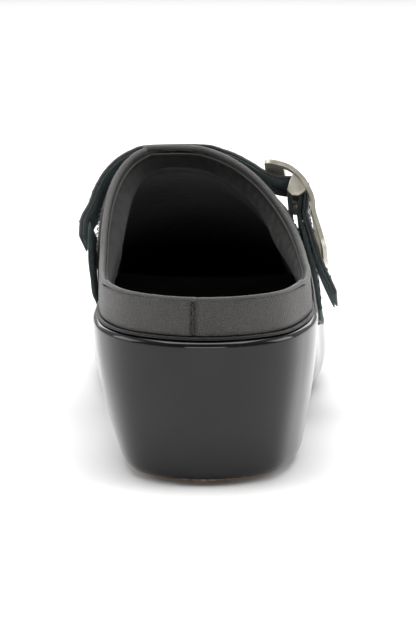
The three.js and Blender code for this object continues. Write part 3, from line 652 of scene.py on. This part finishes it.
# ---- upper
def shares(count):
    """Height shares up one side of the form, closer together near the crest."""
    return np.sin(np.arange(count) / count * math.pi / 2) ** 1.15


def form_grid(columns, rise):
    """Points over the form from the inner side's base, over the crest, to the outer side's base."""
    u, s = columns[:, None], shares(rise)[None]
    inner, outer = form_point(u, MEDIAL, s, 0.0), form_point(u, LATERAL, s, 0.0)
    return np.concatenate([inner, form_point(u, MEDIAL, 1.0, 0.0), outer[:, ::-1]], 1)


def seam_y(z):
    return lerp(THROAT_Y + 18, THROAT_Y - 22, (z - 38) / 50)


def crumple(p, size, height, seed):
    """Points moved a little in all directions by slow noise, like real leather."""
    moved = p.copy()
    for i, q in enumerate(p):
        v = Vector((float(q[0]) / size, float(q[1]) / size, float(q[2]) / size + seed))
        n = noise.noise_vector(v)
        moved[i] += np.array([n.x, 0.4 * n.y, n.z]) * height
    return moved


BACK_SEAM = -5.0
VAMP_LAP = 2.5
COLUMNS = np.unique(np.r_[np.linspace(0, 1, 150), station_at(np.arange(56, 78, 0.8)),
                          station_at(np.arange(-40.9, -30, 0.5))])
RISE = 34
SHELL_TOP = 0.5


def upper_skin(name, node, keep, lift=None):
    grid = form_grid(COLUMNS, RISE)
    points = grid.reshape(-1, 3)
    faces = grid_faces(*grid.shape[:2])
    points, faces = clip(points, faces, above_edge(points, SHELL_TOP))
    for value in keep:
        points, faces = clip(points, faces, value(points))
    points = crumple(points, 17, 0.22, 3.1)
    if lift:
        points = lift(points)
    piece = make(name, points, faces, UPPER, slot="upper_leather", replaces=[node])
    apply(piece, 'SOLIDIFY', thickness=LEATHER * MM, offset=-1)
    return piece


def at_back_seam(points):
    """The two quarters turn in a little where they meet at the back."""
    points = points.copy()
    near = np.exp(-((points[:, 0] - BACK_SEAM) / 0.85) ** 2) * (points[:, 1] < 0)
    ripple = 0.5 + 0.5 * np.sin(points[:, 2] * 2.2)
    points[:, 1] += near * (0.45 + 0.18 * ripple)
    return points


def over_quarter(points):
    """The vamp's cut edge rides over the quarters it is sewn to."""
    points = points.copy()
    ahead = points[:, 1] - seam_y(points[:, 2])
    rise = np.clip(1 - (ahead + VAMP_LAP) / 14, 0, 1) ** 1.4
    centre = np.array([-3.0, 0, 55.0])
    away = points - centre
    away[:, 1] = 0
    away /= np.maximum(np.linalg.norm(away, axis=1), 1)[:, None]
    return points + away * rise[:, None]


upper_skin("vamp_leather", "vamp", [lambda p: seam_y(p[:, 2]) - VAMP_LAP - p[:, 1]], over_quarter)
for side, turn in (("medial", 1), ("lateral", -1)):
    upper_skin(f"quarter_{side}_leather", f"quarter_{side}",
               [lambda p: p[:, 1] - seam_y(p[:, 2]),
                lambda p: turn * (p[:, 0] - np.where(p[:, 1] < 0, BACK_SEAM - turn * 0.06, 0))], at_back_seam)


# ---- opening's edge: piping and padded collar
def surface_at(y, z, side, depth):
    u = station_at(y)
    share = np.clip((z - upper_base(y)) / (ridge_height(u) - depth - upper_base(y)), 0, 1)
    return form_point(u, side, share, depth)


def edge_side(side, depth):
    """One side of the opening's edge, from the back seam to the throat."""
    points = []
    heel_end = float(station_at(-8))
    for u in np.arange(0.012, heel_end, 0.012):
        share = (BAND_TOP - upper_base(along_y(u))) / (ridge_height(u) - depth - upper_base(along_y(u)))
        points.append(form_point(u, side, share, depth))
    for y, z in TOPLINE:
        if y <= -5:
            continue
        x = -35.0 if side == MEDIAL else 32.0
        roll = TOPLINE_ROLL * float(smooth(y, 0, 45))
        for _ in range(4):
            x = float(surface_at(y, z - roll * x, side, depth)[0])
        level = z - roll * x
        if level < float(ridge_height(station_at(y))) - depth:
            points.append(np.array([x, y, level]))
    return points


def edge_loop(depth):
    inner, outer = edge_side(MEDIAL, depth), edge_side(LATERAL, depth)
    y = inner[-1][1]
    u = station_at(y)
    front = np.array([float(ridge(u, 2)), y, float(ridge_height(u)) - depth])
    back = np.array([BACK_SEAM, -HEEL_SETBACK + RIM_INSET + depth, BAND_TOP])
    loop = [back + (0.25, 0, 0)] + outer + [front] + inner[::-1] + [back - (0.25, 0, 0)]
    kept = [loop[0]]
    for p in loop[1:]:
        if np.linalg.norm(p - kept[-1]) > 1.2:
            kept.append(p)
    return evenly(spline(kept, 6), 320)


def tube(path, radius, around=14):
    """Round tube along a path, with rounded ends."""
    path = np.asarray(path, float)
    n = len(path)
    tangent = tangents(path)
    points = []
    normal = np.cross(tangent[0], (0.1, 0.2, 1.0))
    for i in range(n):
        normal = normal - tangent[i] * np.dot(normal, tangent[i])
        normal /= np.linalg.norm(normal)
        other = np.cross(tangent[i], normal)
        end = min(i, n - 1 - i)
        r = (radius if np.isscalar(radius) else radius[i]) * (1 if end > 2 else (0.45, 0.8, 0.95)[end])
        for k in range(around):
            a = 2 * math.pi * k / around
            points.append(path[i] + (normal * math.cos(a) + other * math.sin(a)) * r)
    return points, tube_faces(n, around, turned=True)


rim = edge_loop(LEATHER / 2)
slim = lerp(0.72, PIPING_RADIUS, smooth(rim[:, 1], -26, 8))
wobble = slim * (1 + 0.03 * np.sin(np.arange(len(rim)) * 0.9) + 0.02 * np.sin(np.arange(len(rim)) * 2.3))
make("topline_cord", *tube(rim, wobble, 16), PIPING, slot="upper_leather", replaces=["topline_piping"],
     outward=True)

seam = edge_loop(2.3)
seam[:, 2] -= 0.7
make("collar_seam", *tube(seam, 0.42, 10), THREAD, slot="textile_lining", outward=True)


def collar():
    """Padded lining: rolled over at the opening's edge, thick round the throat, thin towards heel and toe."""
    columns = np.unique(np.r_[np.linspace(0.02, 0.985, 130), station_at(np.arange(60, 80, 0.8))])
    s = shares(44)
    lining_depth, edge_depth = 2.2, 1.2
    u, t = np.meshgrid(columns, np.concatenate([s, [1.0], 2 - s[::-1]]), indexing='ij')

    def placed(corners, depth):
        u, t = corners[:, 0], corners[:, 1]
        share = np.where(t <= 1, t, 2 - t)
        inner, outer = form_point(u, MEDIAL, share, depth), form_point(u, LATERAL, share, depth)
        return np.where((t <= 1)[:, None], inner, outer)

    corners = np.stack([u, t, 0 * u], -1).reshape(-1, 3)
    level = above_edge(placed(corners, lining_depth))
    corners, faces = clip(corners, grid_faces(*u.shape, turned=True), level)
    t = corners[:, 1]
    flat = placed(corners, lining_depth)
    below, y = np.clip(-above_edge(flat), 0, None), flat[:, 1]
    full = LEATHER + 2 * GAP + middle_layer(y, np.where(t <= 1, t, 2 - t)) + LINING
    roll = np.clip(below / 6.5, 0, 1)
    puff = 1.1 * np.exp(-((below - 7) / 5.5) ** 2) * smooth(y, 5, 40) * (1 - smooth(y, 80, 110))
    points = placed(corners, edge_depth + (full - edge_depth) * np.sqrt(1 - (1 - roll) ** 2) + puff)
    steady = np.clip(-above_edge(points) / 6, 0, 1)[:, None]
    points = lerp(points, crumple(points, 12, 0.5, 8.4), steady)
    piece = make("collar_lining", points, faces, KNIT, slot="textile_lining",
                 replaces=["lining_medial", "lining_lateral", "collar_foam"])
    apply(piece, 'SOLIDIFY', thickness=1.0 * MM, offset=-1)
    return piece


collar()


def footbed():
    """Footbed cover over its foam: a cupped, crowned pad with rolled edges."""
    stations = np.linspace(0.055, 0.945, 130)
    inset = RIM_INSET + LEATHER + STIFFENER + LINING + 4 * GAP + 0.8
    across = 40
    rows = []
    for u in stations:
        mx, my = edge(u, MEDIAL, inset)
        lx, ly = edge(u, LATERAL, inset)
        row = []
        for k in range(across + 1):
            t = -math.cos(math.pi * k / across)
            x, y = lerp(mx, lx, (t + 1) / 2), lerp(my, ly, (t + 1) / 2)
            cup = FOOTBED_CUP * t**2 * (1 - float(smooth(y, 10, 60)))
            foam = lerp(FOOTBED_HEEL, FOOTBED_FORE, float(smooth(y, 30, 110)))
            top = float(rim_height(y)) + INSOLE_BOARD + 4 * GAP + SOCK + foam + cup
            ball = 0.9 * math.exp(-((y - 118) / 22) ** 2 - ((x - 4) / 24) ** 2)
            ball += 0.8 * math.exp(-((y + 6) / 17) ** 2 - (x / 17) ** 2)
            ends = min((y + 33) / 3.0, 1) if y < -20 else 1
            sides = (1 - abs(t)) * abs(lx - mx) / 4.8
            roll = 1.3 * (max(0, 1 - sides) ** 2 + (1 - max(0, ends)) ** 2)
            ripple = 0.25 * noise.noise(Vector((x / 9, y / 9, 1.7)))
            row.append((x, y, top - ball - roll + ripple))
        rows.append(row)
    grid = np.array(rows)
    points = grid.reshape(-1, 3)
    low = points.copy()
    low[:, 2] = rim_height(points[:, 1]) + GAP + INSOLE_BOARD + 0.4
    faces = slab_faces(*grid.shape[:2])
    piece = make("footbed_cover", np.concatenate([points, low]), faces, FOOTBED, slot="textile_lining",
                 replaces=["sock_cover", "footbed_foam"], outward=True)
    return piece


footbed()


# ---- strap plane
def crest_at(y):
    u = station_at(y)
    return np.array([float(ridge(u, 2)), y, float(ridge_height(u))])


STRAP_REAR = THROAT_Y + STRAP_SETBACK
axis = crest_at(STRAP_REAR + STRAP_WIDTH) - crest_at(STRAP_REAR)
axis[0] = 1.5
axis /= np.linalg.norm(axis)
strap_x = np.array([1.0, 0, 0]) - axis * axis[0]
strap_x /= np.linalg.norm(strap_x)
strap_z = np.cross(strap_x, axis)
origin = crest_at(STRAP_REAR)


def world(p, across):
    """World point of a strap-plane point, a distance in front of the strap's rear edge."""
    return origin + strap_x * p[0] + strap_z * p[1] + axis * across


def under_strap():
    """Every point of the upper between the strap's edges, in the strap's plane."""
    cloud = []
    for y in np.arange(STRAP_REAR - 40, STRAP_REAR + STRAP_WIDTH + 12.01, 2):
        for side in (MEDIAL, LATERAL):
            q = form_point(float(station_at(y)), side, np.arange(0, 1.0001, 0.03), 0.0) - origin
            along = q @ axis
            cloud += [(a, b) for a, b, c in zip(q @ strap_x, q @ strap_z, along) if -1 < c < STRAP_WIDTH + 1]
    return sorted(cloud)


strap_cloud = under_strap()


def taut_outline():
    hull = []
    for p in strap_cloud:
        while len(hull) > 1:
            a, b = hull[-2:]
            if (b[0] - a[0]) * (p[1] - a[1]) - (b[1] - a[1]) * (p[0] - a[0]) < 0:
                break
            hull.pop()
        hull.append(p)
    kept = [hull[0]]
    for p in hull:
        if math.dist(p, kept[-1]) > 2.5:
            kept.append(p)
    return evenly(spline(kept, 12), 61)


taut = taut_outline()
taut_top = taut[:, 1].max()


def taut_at(height, side, out):
    points = taut if side == MEDIAL else taut[::-1]
    if height < points[0][1]:
        return np.array([points[0][0] + (-out if side == MEDIAL else out), height])
    k = max(1, int(np.argmax(points[:, 1] > height)))
    a, b = points[k - 1], points[k]
    p = lerp(a, b, (height - a[1]) / (b[1] - a[1]))
    n = np.array([-(b[1] - a[1]), b[0] - a[0]])
    return p + n / np.linalg.norm(n) * (out if side == MEDIAL else -out)


stack = STRAP_LEATHER + GAP + STRAP_BACKING
bar = taut_at(taut_top - BAR_DROP, LATERAL, BAR_STANDOFF)


def from_bar(x, z):
    return np.array([bar[0] + x, bar[1] + z])


def around_bar(radius, degrees):
    return from_bar(radius * math.cos(math.radians(degrees)), radius * math.sin(math.radians(degrees)))


tab_radius = BAR_RADIUS + GAP + TAB_THICKNESS / 2
over_bar = tab_radius + TAB_THICKNESS / 2 + GAP
anchor_top, anchor_foot = taut_top - ANCHOR_TOP, taut_top - ANCHOR_FOOT

ANCHOR_STEP = 7
strap_path = []
for i, point in enumerate(taut):
    before, after = taut[max(i - 1, 0)], taut[min(i + 1, len(taut) - 1)]
    outward = np.array([before[1] - after[1], after[0] - before[0]])
    outward /= np.linalg.norm(outward)
    inner = point[0] < 0
    if (point[1] < anchor_top - ANCHOR_STEP) if inner else (point[0] > bar[0] - 14):
        continue
    risen = float(smooth(point[1], anchor_top, anchor_top + ANCHOR_STEP))
    lap = (STRAP_LEATHER + 2 * GAP + 0.1) * (1 - risen) if inner else 0
    strap_path.append(point + outward * (STRAP_CLEAR + lap))
strap_path += [from_bar(-9.5, 4.6), from_bar(-4.4, 3.3)] + [around_bar(over_bar, a) for a in (88, 60, 28, 0)]
tab_path = [taut_at(bar[1] + z, LATERAL, GAP + out) for z, out in
            zip((-TAB_DROP, -36, -29, -22, -15.5, -9.5), (2.6, 1.5, 0.6, 0.1, 0.4, 1.4))][::-1]
tab_inner = ([from_bar(-tab_radius + .3, -6.8), from_bar(-tab_radius, -3)]
             + [around_bar(tab_radius, a) for a in (180, 140, 100, 60, 20)]
             + [from_bar(tab_radius - .4, -3)] + [p + (TAB_THICKNESS / 2, 0) for p in tab_path])
tail_path = ([around_bar(over_bar, -14), from_bar(over_bar - .5, -5.5)]
             + [tab_path[i] + (TAB_THICKNESS + GAP + clear, 0) for i, clear in enumerate((.1, .1, .3, 1.2))]
             + [tab_path[5] + (TAB_THICKNESS + 3.8, TAB_DROP - TAIL_DROP)])


def ribbon(path, inner, outer, low, high, count=170, crown=0.0, wavy=0.0, seed=0.0):
    """A strip swept along a path in the strap's plane, with soft cut edges and ends."""
    line = evenly(spline(path, 14), count)
    tangent = tangents(line)
    normal = np.stack([-tangent[:, 1], tangent[:, 0]], 1)
    half, middle = (outer - inner) / 2, (outer + inner) / 2
    r = min(0.4, half * 0.8)
    ring = [(low + r + (high - low - 2 * r) * k / 12, half) for k in range(13)]
    ring += [(high - r + r * math.sin(a), half - r + r * math.cos(a)) for a in (0.6, 1.2)]
    ring += [(high, 0.0), (high - r * 0.3, -half + r * 0.4)]
    ring += [(high - r - (high - low - 2 * r) * k / 12, -half) for k in range(13)]
    ring += [(low + r * 0.3, -half + r * 0.4), (low, 0.0)]
    ring += [(low + r - r * math.sin(a), half - r + r * math.cos(a)) for a in (1.2, 0.6)]
    points = []
    for i, (p, n) in enumerate(zip(line, normal)):
        end = min(i, len(line) - 1 - i)
        squeeze = (0.35, 0.8)[end] if end < 2 else 1
        for w, o in ring:
            mid = (w - low) / (high - low) * 2 - 1
            lift = crown * (1 - mid**2) if o > 0 else 0
            drift = wavy * noise.noise(Vector((w / 9, i / 11, seed)))
            fray = 0.12 * noise.noise(Vector((i / 1.3, w, seed + 5))) if abs(mid) > 0.97 else 0
            across = w + fray * np.sign(mid) - 0.15 * (end == 0)
            points.append(world(p + n * (middle + o * squeeze + lift + drift), across))
    return points, tube_faces(len(line), len(ring))


def block(low, high, across):
    """A box in the strap's plane, as a hidden cutter."""
    points = [world((x, z), w) for x in (low[0], high[0]) for z in (low[1], high[1]) for w in across]
    faces = [(0, 1, 3, 2), (4, 6, 7, 5), (0, 4, 5, 1), (2, 3, 7, 6), (0, 2, 6, 4), (1, 5, 7, 3)]
    return make("cutter", points, faces, METAL, outward=True)


def cut_by(pieces, cutter):
    for piece in pieces:
        apply(piece, 'BOOLEAN', operation='DIFFERENCE', object=cutter, solver='EXACT')
    bpy.data.objects.remove(cutter)


whole = strap_path + tail_path
suede_strap = make("strap_suede", *ribbon(whole, 0, STRAP_BACKING, 0, STRAP_WIDTH, 190, 0, 0.08, 2), SUEDE,
                   slot="suede", replaces=["strap_backing"], outward=True)
grain_low = STRAP_BACKING + GAP * 0.4
grain = ribbon(whole, grain_low, stack - 0.1, 0, STRAP_WIDTH, 190, 0, 0.03, 2)
grain_strap = make("strap_grain", *grain, STRAP,
                   slot="strap_leather", replaces=["strap_leather"], outward=True)
slot_across = ((STRAP_WIDTH - PRONG_WIDTH) / 2 - 0.8, (STRAP_WIDTH + PRONG_WIDTH) / 2 + 0.8)
cut_by([suede_strap, grain_strap], block(from_bar(-9, -1), from_bar(2, 13), slot_across))
anchor_path = [np.array([min(x for x, z in strap_cloud if x < 0 and abs(z - height) < 2.5) - GAP, height])
               for height in np.linspace(anchor_foot, anchor_top, 9)]
make("anchor_suede", *ribbon(anchor_path, 0, STRAP_LEATHER, 0, STRAP_WIDTH, 40, 0, 0.06, 4), SUEDE,
     slot="suede", replaces=["strap_anchor"], outward=True)
tab_half = TAB_THICKNESS / 2
folded = ribbon(tab_inner, -tab_half, tab_half, 1, STRAP_WIDTH - 1, 150, 0.05, 0.08, 6)
tab = make("tab_suede", *folded, SUEDE, slot="suede", replaces=["buckle_tab"], outward=True)
cut_by([tab], block(from_bar(-7, -3.65), from_bar(7, 4.85), slot_across))

# ---- buckle
frame_low = -FRAME_PLAY / 2 - FRAME_RAIL
frame_high = STRAP_WIDTH - frame_low
frame_path = ([from_bar(-10.8, 10.9), from_bar(-2.6, 8.8), from_bar(2.8, 4.6), from_bar(5.2, 0.8),
               from_bar(7.1, -3.8)]
              + [p + (stack + FRAME_CLEAR + FRAME_THICKNESS, 0) for p in tail_path[2:5]])


def buckle_frame():
    line = evenly(spline(frame_path, 20), 400)
    run = np.r_[0, np.cumsum(np.linalg.norm(np.diff(line, axis=0), axis=1))]
    total = run[-1]
    top = float(run[np.argmax(line[:, 1] < bar[1] + WINDOW_TOP)])
    foot = float(run[np.argmax(line[:, 1] < bar[1] - WINDOW_FOOT)])
    corner = 3.2
    ends = [0, 0.25, 0.8, 1.6, 2.4, corner]
    marks = sorted({*ends, *(total - e for e in ends), top, foot, *np.linspace(corner, top, 4)[1:-1],
                    *np.linspace(top, foot, 22)[1:-1], *np.linspace(foot, total - corner, 3)[1:-1]})
    inner_low, inner_high = frame_low + FRAME_RAIL, frame_high - FRAME_RAIL
    widths = [frame_low, lerp(frame_low, inner_low, .5), *np.linspace(inner_low, inner_high, 9),
              lerp(inner_high, frame_high, .5), frame_high]
    points, faces = [], []
    for mark in marks:
        p = np.array([np.interp(mark, run, line[:, 0]), np.interp(mark, run, line[:, 1])])
        e = min(mark, total - mark, corner)
        pull = corner - math.sqrt(max(corner**2 - (corner - e) ** 2, 0))
        for w in widths:
            if w < inner_low:
                w = w + pull * (inner_low - w) / FRAME_RAIL
            elif w > inner_high:
                w = w - pull * (w - inner_high) / FRAME_RAIL
            points.append(world(p, w))
    n = len(widths)
    for i in range(len(marks) - 1):
        for j in range(n - 1):
            windowed = top - 1e-6 <= marks[i] < foot - 1e-6 and 2 <= j < n - 3
            if not windowed:
                faces.append((i * n + j, i * n + j + 1, (i + 1) * n + j + 1, (i + 1) * n + j)[::-1])
    piece = make("frame_metal", points, faces, METAL, "buckle", "buckle_metal", ["buckle_frame"])
    centre = Vector(world(from_bar(-8, -8), STRAP_WIDTH / 2)) * MM
    polygon = piece.data.polygons[0]
    if polygon.normal.dot(polygon.center - centre) < 0:
        piece.data.flip_normals()
    apply(piece, 'SOLIDIFY', thickness=(FRAME_THICKNESS - 0.35) * MM, offset=-1)
    apply(piece, 'BEVEL', width=0.55 * MM, segments=3, limit_method='ANGLE', angle_limit=math.radians(50))
    apply(piece, 'WEIGHTED_NORMAL')
    return piece


buckle_frame()


def plate(low, high):
    """One lug that carries the bar's end."""
    shape = [*(around_bar(BAR_RADIUS + 2, a) for a in (200, 245, 290)), from_bar(4.2, -.6),
             from_bar(2.4, 2.6), from_bar(-.6, 5.6), around_bar(BAR_RADIUS + 2, 130)]
    points = [world(p, w) for w in (low, high) for p in shape]
    n = len(shape)
    return points, tube_faces(2, n)


lugs = make("frame_lugs", *join_meshes([plate(frame_low + .6, frame_low + FRAME_RAIL - 1),
                                        plate(frame_high - FRAME_RAIL + 1, frame_high - .6)]),
            METAL, "buckle", "buckle_metal", outward=True)
apply(lugs, 'BEVEL', width=0.4 * MM, segments=3, limit_method='ANGLE', angle_limit=math.radians(30))


def rod(radius, low, high, around=28):
    marks = [(low, 0.6), (low + 0.15, 0.9), (low + 0.4, 1), (high - 0.4, 1), (high - 0.15, 0.9), (high, 0.6)]
    points = [world(around_bar(radius * share, 360 * k / around), w)
              for w, share in marks for k in range(around)]
    return points, tube_faces(len(marks), around)


make("bar_metal", *rod(BAR_RADIUS, frame_low + 1.2, frame_high - 1.2), METAL, "buckle", "buckle_metal",
     ["buckle_bar"], outward=True)


def prong():
    """Eye round the bar and a tongue that tapers to a rounded tip."""
    low, high = (STRAP_WIDTH - PRONG_WIDTH) / 2, (STRAP_WIDTH + PRONG_WIDTH) / 2
    ring, around = [], 32
    half = [(1.25, .25), (1.45, 0), (2.35, 0), (2.6, .3)]
    profile = half + [(radius, PRONG_WIDTH - across) for radius, across in half[::-1]]
    for radius, across in profile:
        ring += [world(around_bar(radius, 360 * k / around), low + across) for k in range(around)]
    count = len(profile)
    faces = [(i * around + k, i * around + (k + 1) % around, (i + 1) % count * around + (k + 1) % around,
              (i + 1) % count * around + k) for i in range(count) for k in range(around)]
    rows, sides = 30, 16
    route = [from_bar(-1.4, 1.4), from_bar(-3.6, 6), from_bar(-6, 9.2), from_bar(-11, 11.4)]
    line = evenly(spline(route, 12), rows)
    tangent = tangents(line)
    tongue = []
    for i, (p, t) in enumerate(zip(line, tangent)):
        left = rows - 1 - i
        size = 1 if left > 6 else 0.55 + 0.45 * math.sqrt(max(0, 1 - (1 - left / 7) ** 2))
        n = np.array([-t[1], t[0]])
        for k in range(sides):
            a = 2 * math.pi * k / sides
            wide, tall = (np.sign(v) * abs(v) ** .55 for v in (math.cos(a), math.sin(a)))
            across = (low + high) / 2 + wide * PRONG_WIDTH / 2 * size
            tongue.append(world(p + n * tall * PRONG_THICKNESS / 2 * size, across))
    parts = [(ring, faces), (tongue, tube_faces(rows, sides))]
    return make("prong_metal", *join_meshes(parts), METAL, "prong", "buckle_metal", ["buckle_prong"],
                outward=True)


prong()


# ---- stitching
def stitches(line, out, pitch=2.7, length=1.9, radius=0.2):
    """A row of short thread stitches along a line: points and the way out of the leather at each."""
    run = np.r_[0, np.cumsum(np.linalg.norm(np.diff(line, axis=0), axis=1))]
    parts = []
    at = pitch
    while at < run[-1] - pitch:
        marks = np.linspace(at, at + length, 6)
        p = np.stack([np.interp(marks, run, line[:, k]) for k in range(3)], 1)
        n = np.stack([np.interp(marks, run, out[:, k]) for k in range(3)], 1)
        dip = np.array([-0.46, 0.02, 0.152, 0.152, 0.02, -0.46])
        parts.append(tube(p + n * dip[:, None], radius, 7))
        at += pitch
    return parts


def strap_row(path, offset, across):
    """Stitches along a strap, except under the buckle's cross rails."""
    line = evenly(spline(path, 14), 240)[4:235]
    tangent = tangents(line)
    normal = np.stack([-tangent[:, 1], tangent[:, 0]], 1)
    points = np.array([world(p + n * offset, across) for p, n in zip(line, normal)])
    out = np.array([strap_x * n[0] + strap_z * n[1] for n in normal])
    rails = [world(end, across) for end in (frame_path[0], frame_path[-1])]
    return [part for part in stitches(points, out, 3.0)
            if min(np.linalg.norm(np.mean(part[0], 0) - rail) for rail in rails) > 7]


def two_rows(path, offset, margin):
    """Stitches along both edges of a strap."""
    return join_meshes(strap_row(path, offset, margin) + strap_row(path, offset, STRAP_WIDTH - margin))


make("strap_stitching", *two_rows(whole, stack - .02, 2.2), THREAD, slot="strap_leather")
make("tab_stitching", *two_rows(tab_inner[8:], TAB_THICKNESS / 2 + .05, 3.2), THREAD, slot="strap_leather")


def skin_row(ys, zs, side, raise_by, pitch=2.7):
    """Stitches on the upper's outer face through given heights."""
    points, inner = (surface_at(ys, zs, side, depth) for depth in (-raise_by, 2.0))
    out = points - inner
    out /= np.linalg.norm(out, axis=1)[:, None]
    return stitches(points, out, pitch)


seam_rows = []
for side in (MEDIAL, LATERAL):
    for shift, low, high in ((0.2, 30, 79), (2.4, 32, 80)):
        zs = np.linspace(low, high, 40)
        ys = seam_y(zs) + shift
        keep = [k for k in range(40) if zs[k] > upper_base(ys[k]) + 1.5
                and above_edge(np.array([30.0 if side == LATERAL else -35.0, ys[k], zs[k]])) < -5]
        seam_rows += skin_row(ys[keep], zs[keep], side, 1.0)
make("vamp_stitching", *join_meshes(seam_rows), THREAD, slot="upper_leather")

edge_rows = []
low_edge = edge_loop(0.0)
for part in (low_edge[12:150], low_edge[170:308]):
    side = LATERAL if part[len(part) // 2, 0] > 0 else MEDIAL
    slope = np.gradient(part[:, 2]) / np.maximum(np.abs(np.gradient(part[:, 1])), 1e-3)
    throat = part[:, 1] > 34
    part, steep = part[throat], (np.abs(slope) / np.sqrt(1 + slope**2))[throat]
    drop = 4.0
    ys = part[:, 1] + drop * steep
    zs = part[:, 2] - drop * np.sqrt(np.maximum(1 - steep**2, 0.05))
    edge_rows += skin_row(ys, zs, side, 0.05, 2.5)
make("topline_stitching", *join_meshes(edge_rows), THREAD, slot="upper_leather")

seam_face = -HEEL_SETBACK + RIM_INSET + 0.1
back_line = [(BACK_SEAM + 0.12 * math.sin(z * 1.9), seam_face, z) for z in np.linspace(53.2, 63.6, 40)]
back_radius = 0.46 + 0.14 * (np.sin(np.arange(40) * 1.15) > 0)
make("back_seam_thread", *tube(back_line, back_radius, 10), THREAD, slot="upper_leather", outward=True)

for name in ("insole_board", "heel_counter", "toe_puff"):
    for slot in frame["nodes"][name].material_slots:
        slot.material = FIBRE

# ---- floor, light and camera
bpy.ops.mesh.primitive_circle_add(vertices=96, radius=6, fill_type='NGON', location=(0, 0, -0.0002))
floor = bpy.context.object
floor.name = "studio_floor"
floor.data.materials.append(floor_look())


def area(name, place, target, size, power):
    light = bpy.data.lights.new(name, 'AREA')
    light.shape = 'RECTANGLE'
    light.size, light.size_y = size
    light.energy = power
    lamp = bpy.data.objects.new(name, light)
    lamp.location = place
    lamp.rotation_euler = (Vector(target) - Vector(place)).to_track_quat('-Z', 'Y').to_euler()
    scene.collection.objects.link(lamp)


area("key_overhead", (0, 0.1, 1.2), (0, 0.03, 0.05), (1.2, 0.9), 16)
area("left_box", (-0.95, 0.1, 0.5), (0, 0.0, 0.05), (0.7, 0.6), 4)
area("right_box", (0.95, 0.1, 0.5), (0, 0.0, 0.05), (0.7, 0.6), 5)
area("low_front", (0, -0.9, 0.12), (0, -0.02, 0.0), (0.7, 0.12), 1.6)
area("back_box", (0, 1.3, 0.7), (0, 0.0, 0.05), (1.6, 0.7), 9)

# The studio: a white cove behind and to the sides, darker on the photographer's side.
studio = bpy.data.worlds.new("studio")
scene.world = studio
studio.use_nodes = True
tree = studio.node_tree
where = new_node(tree, "ShaderNodeTexCoord").outputs["Generated"]
split = new_node(tree, "ShaderNodeSeparateXYZ", Vector=where)
depth = new_node(tree, "ShaderNodeMapRange", Value=split.outputs["Y"], From_Min=-0.75, From_Max=0.35,
                 To_Min=0.12, To_Max=0.5)
cove = new_node(tree, "ShaderNodeBackground", Color=(1, 1, 1, 1), Strength=depth.outputs["Result"])
white = new_node(tree, "ShaderNodeBackground", Color=(1, 1, 1, 1), Strength=1.0)
rays = new_node(tree, "ShaderNodeLightPath").outputs["Is Camera Ray"]
mix = new_node(tree, "ShaderNodeMixShader", Fac=rays)
tree.links.new(cove.outputs[0], mix.inputs[1])
tree.links.new(white.outputs[0], mix.inputs[2])
tree.links.new(mix.outputs[0], tree.nodes["World Output"].inputs["Surface"])
scene.view_settings.view_transform = 'Standard'

camera = bpy.data.cameras.new("camera")
camera.lens, camera.sensor_width, camera.sensor_fit = 185.6, 36, 'AUTO'
camera.clip_start = 0.01
eye = bpy.data.objects.new("camera", camera)
eye.location = (0, -1.114, 0.2867)
eye.rotation_euler = (math.radians(78), 0, 0)
scene.collection.objects.link(eye)
scene.camera = eye
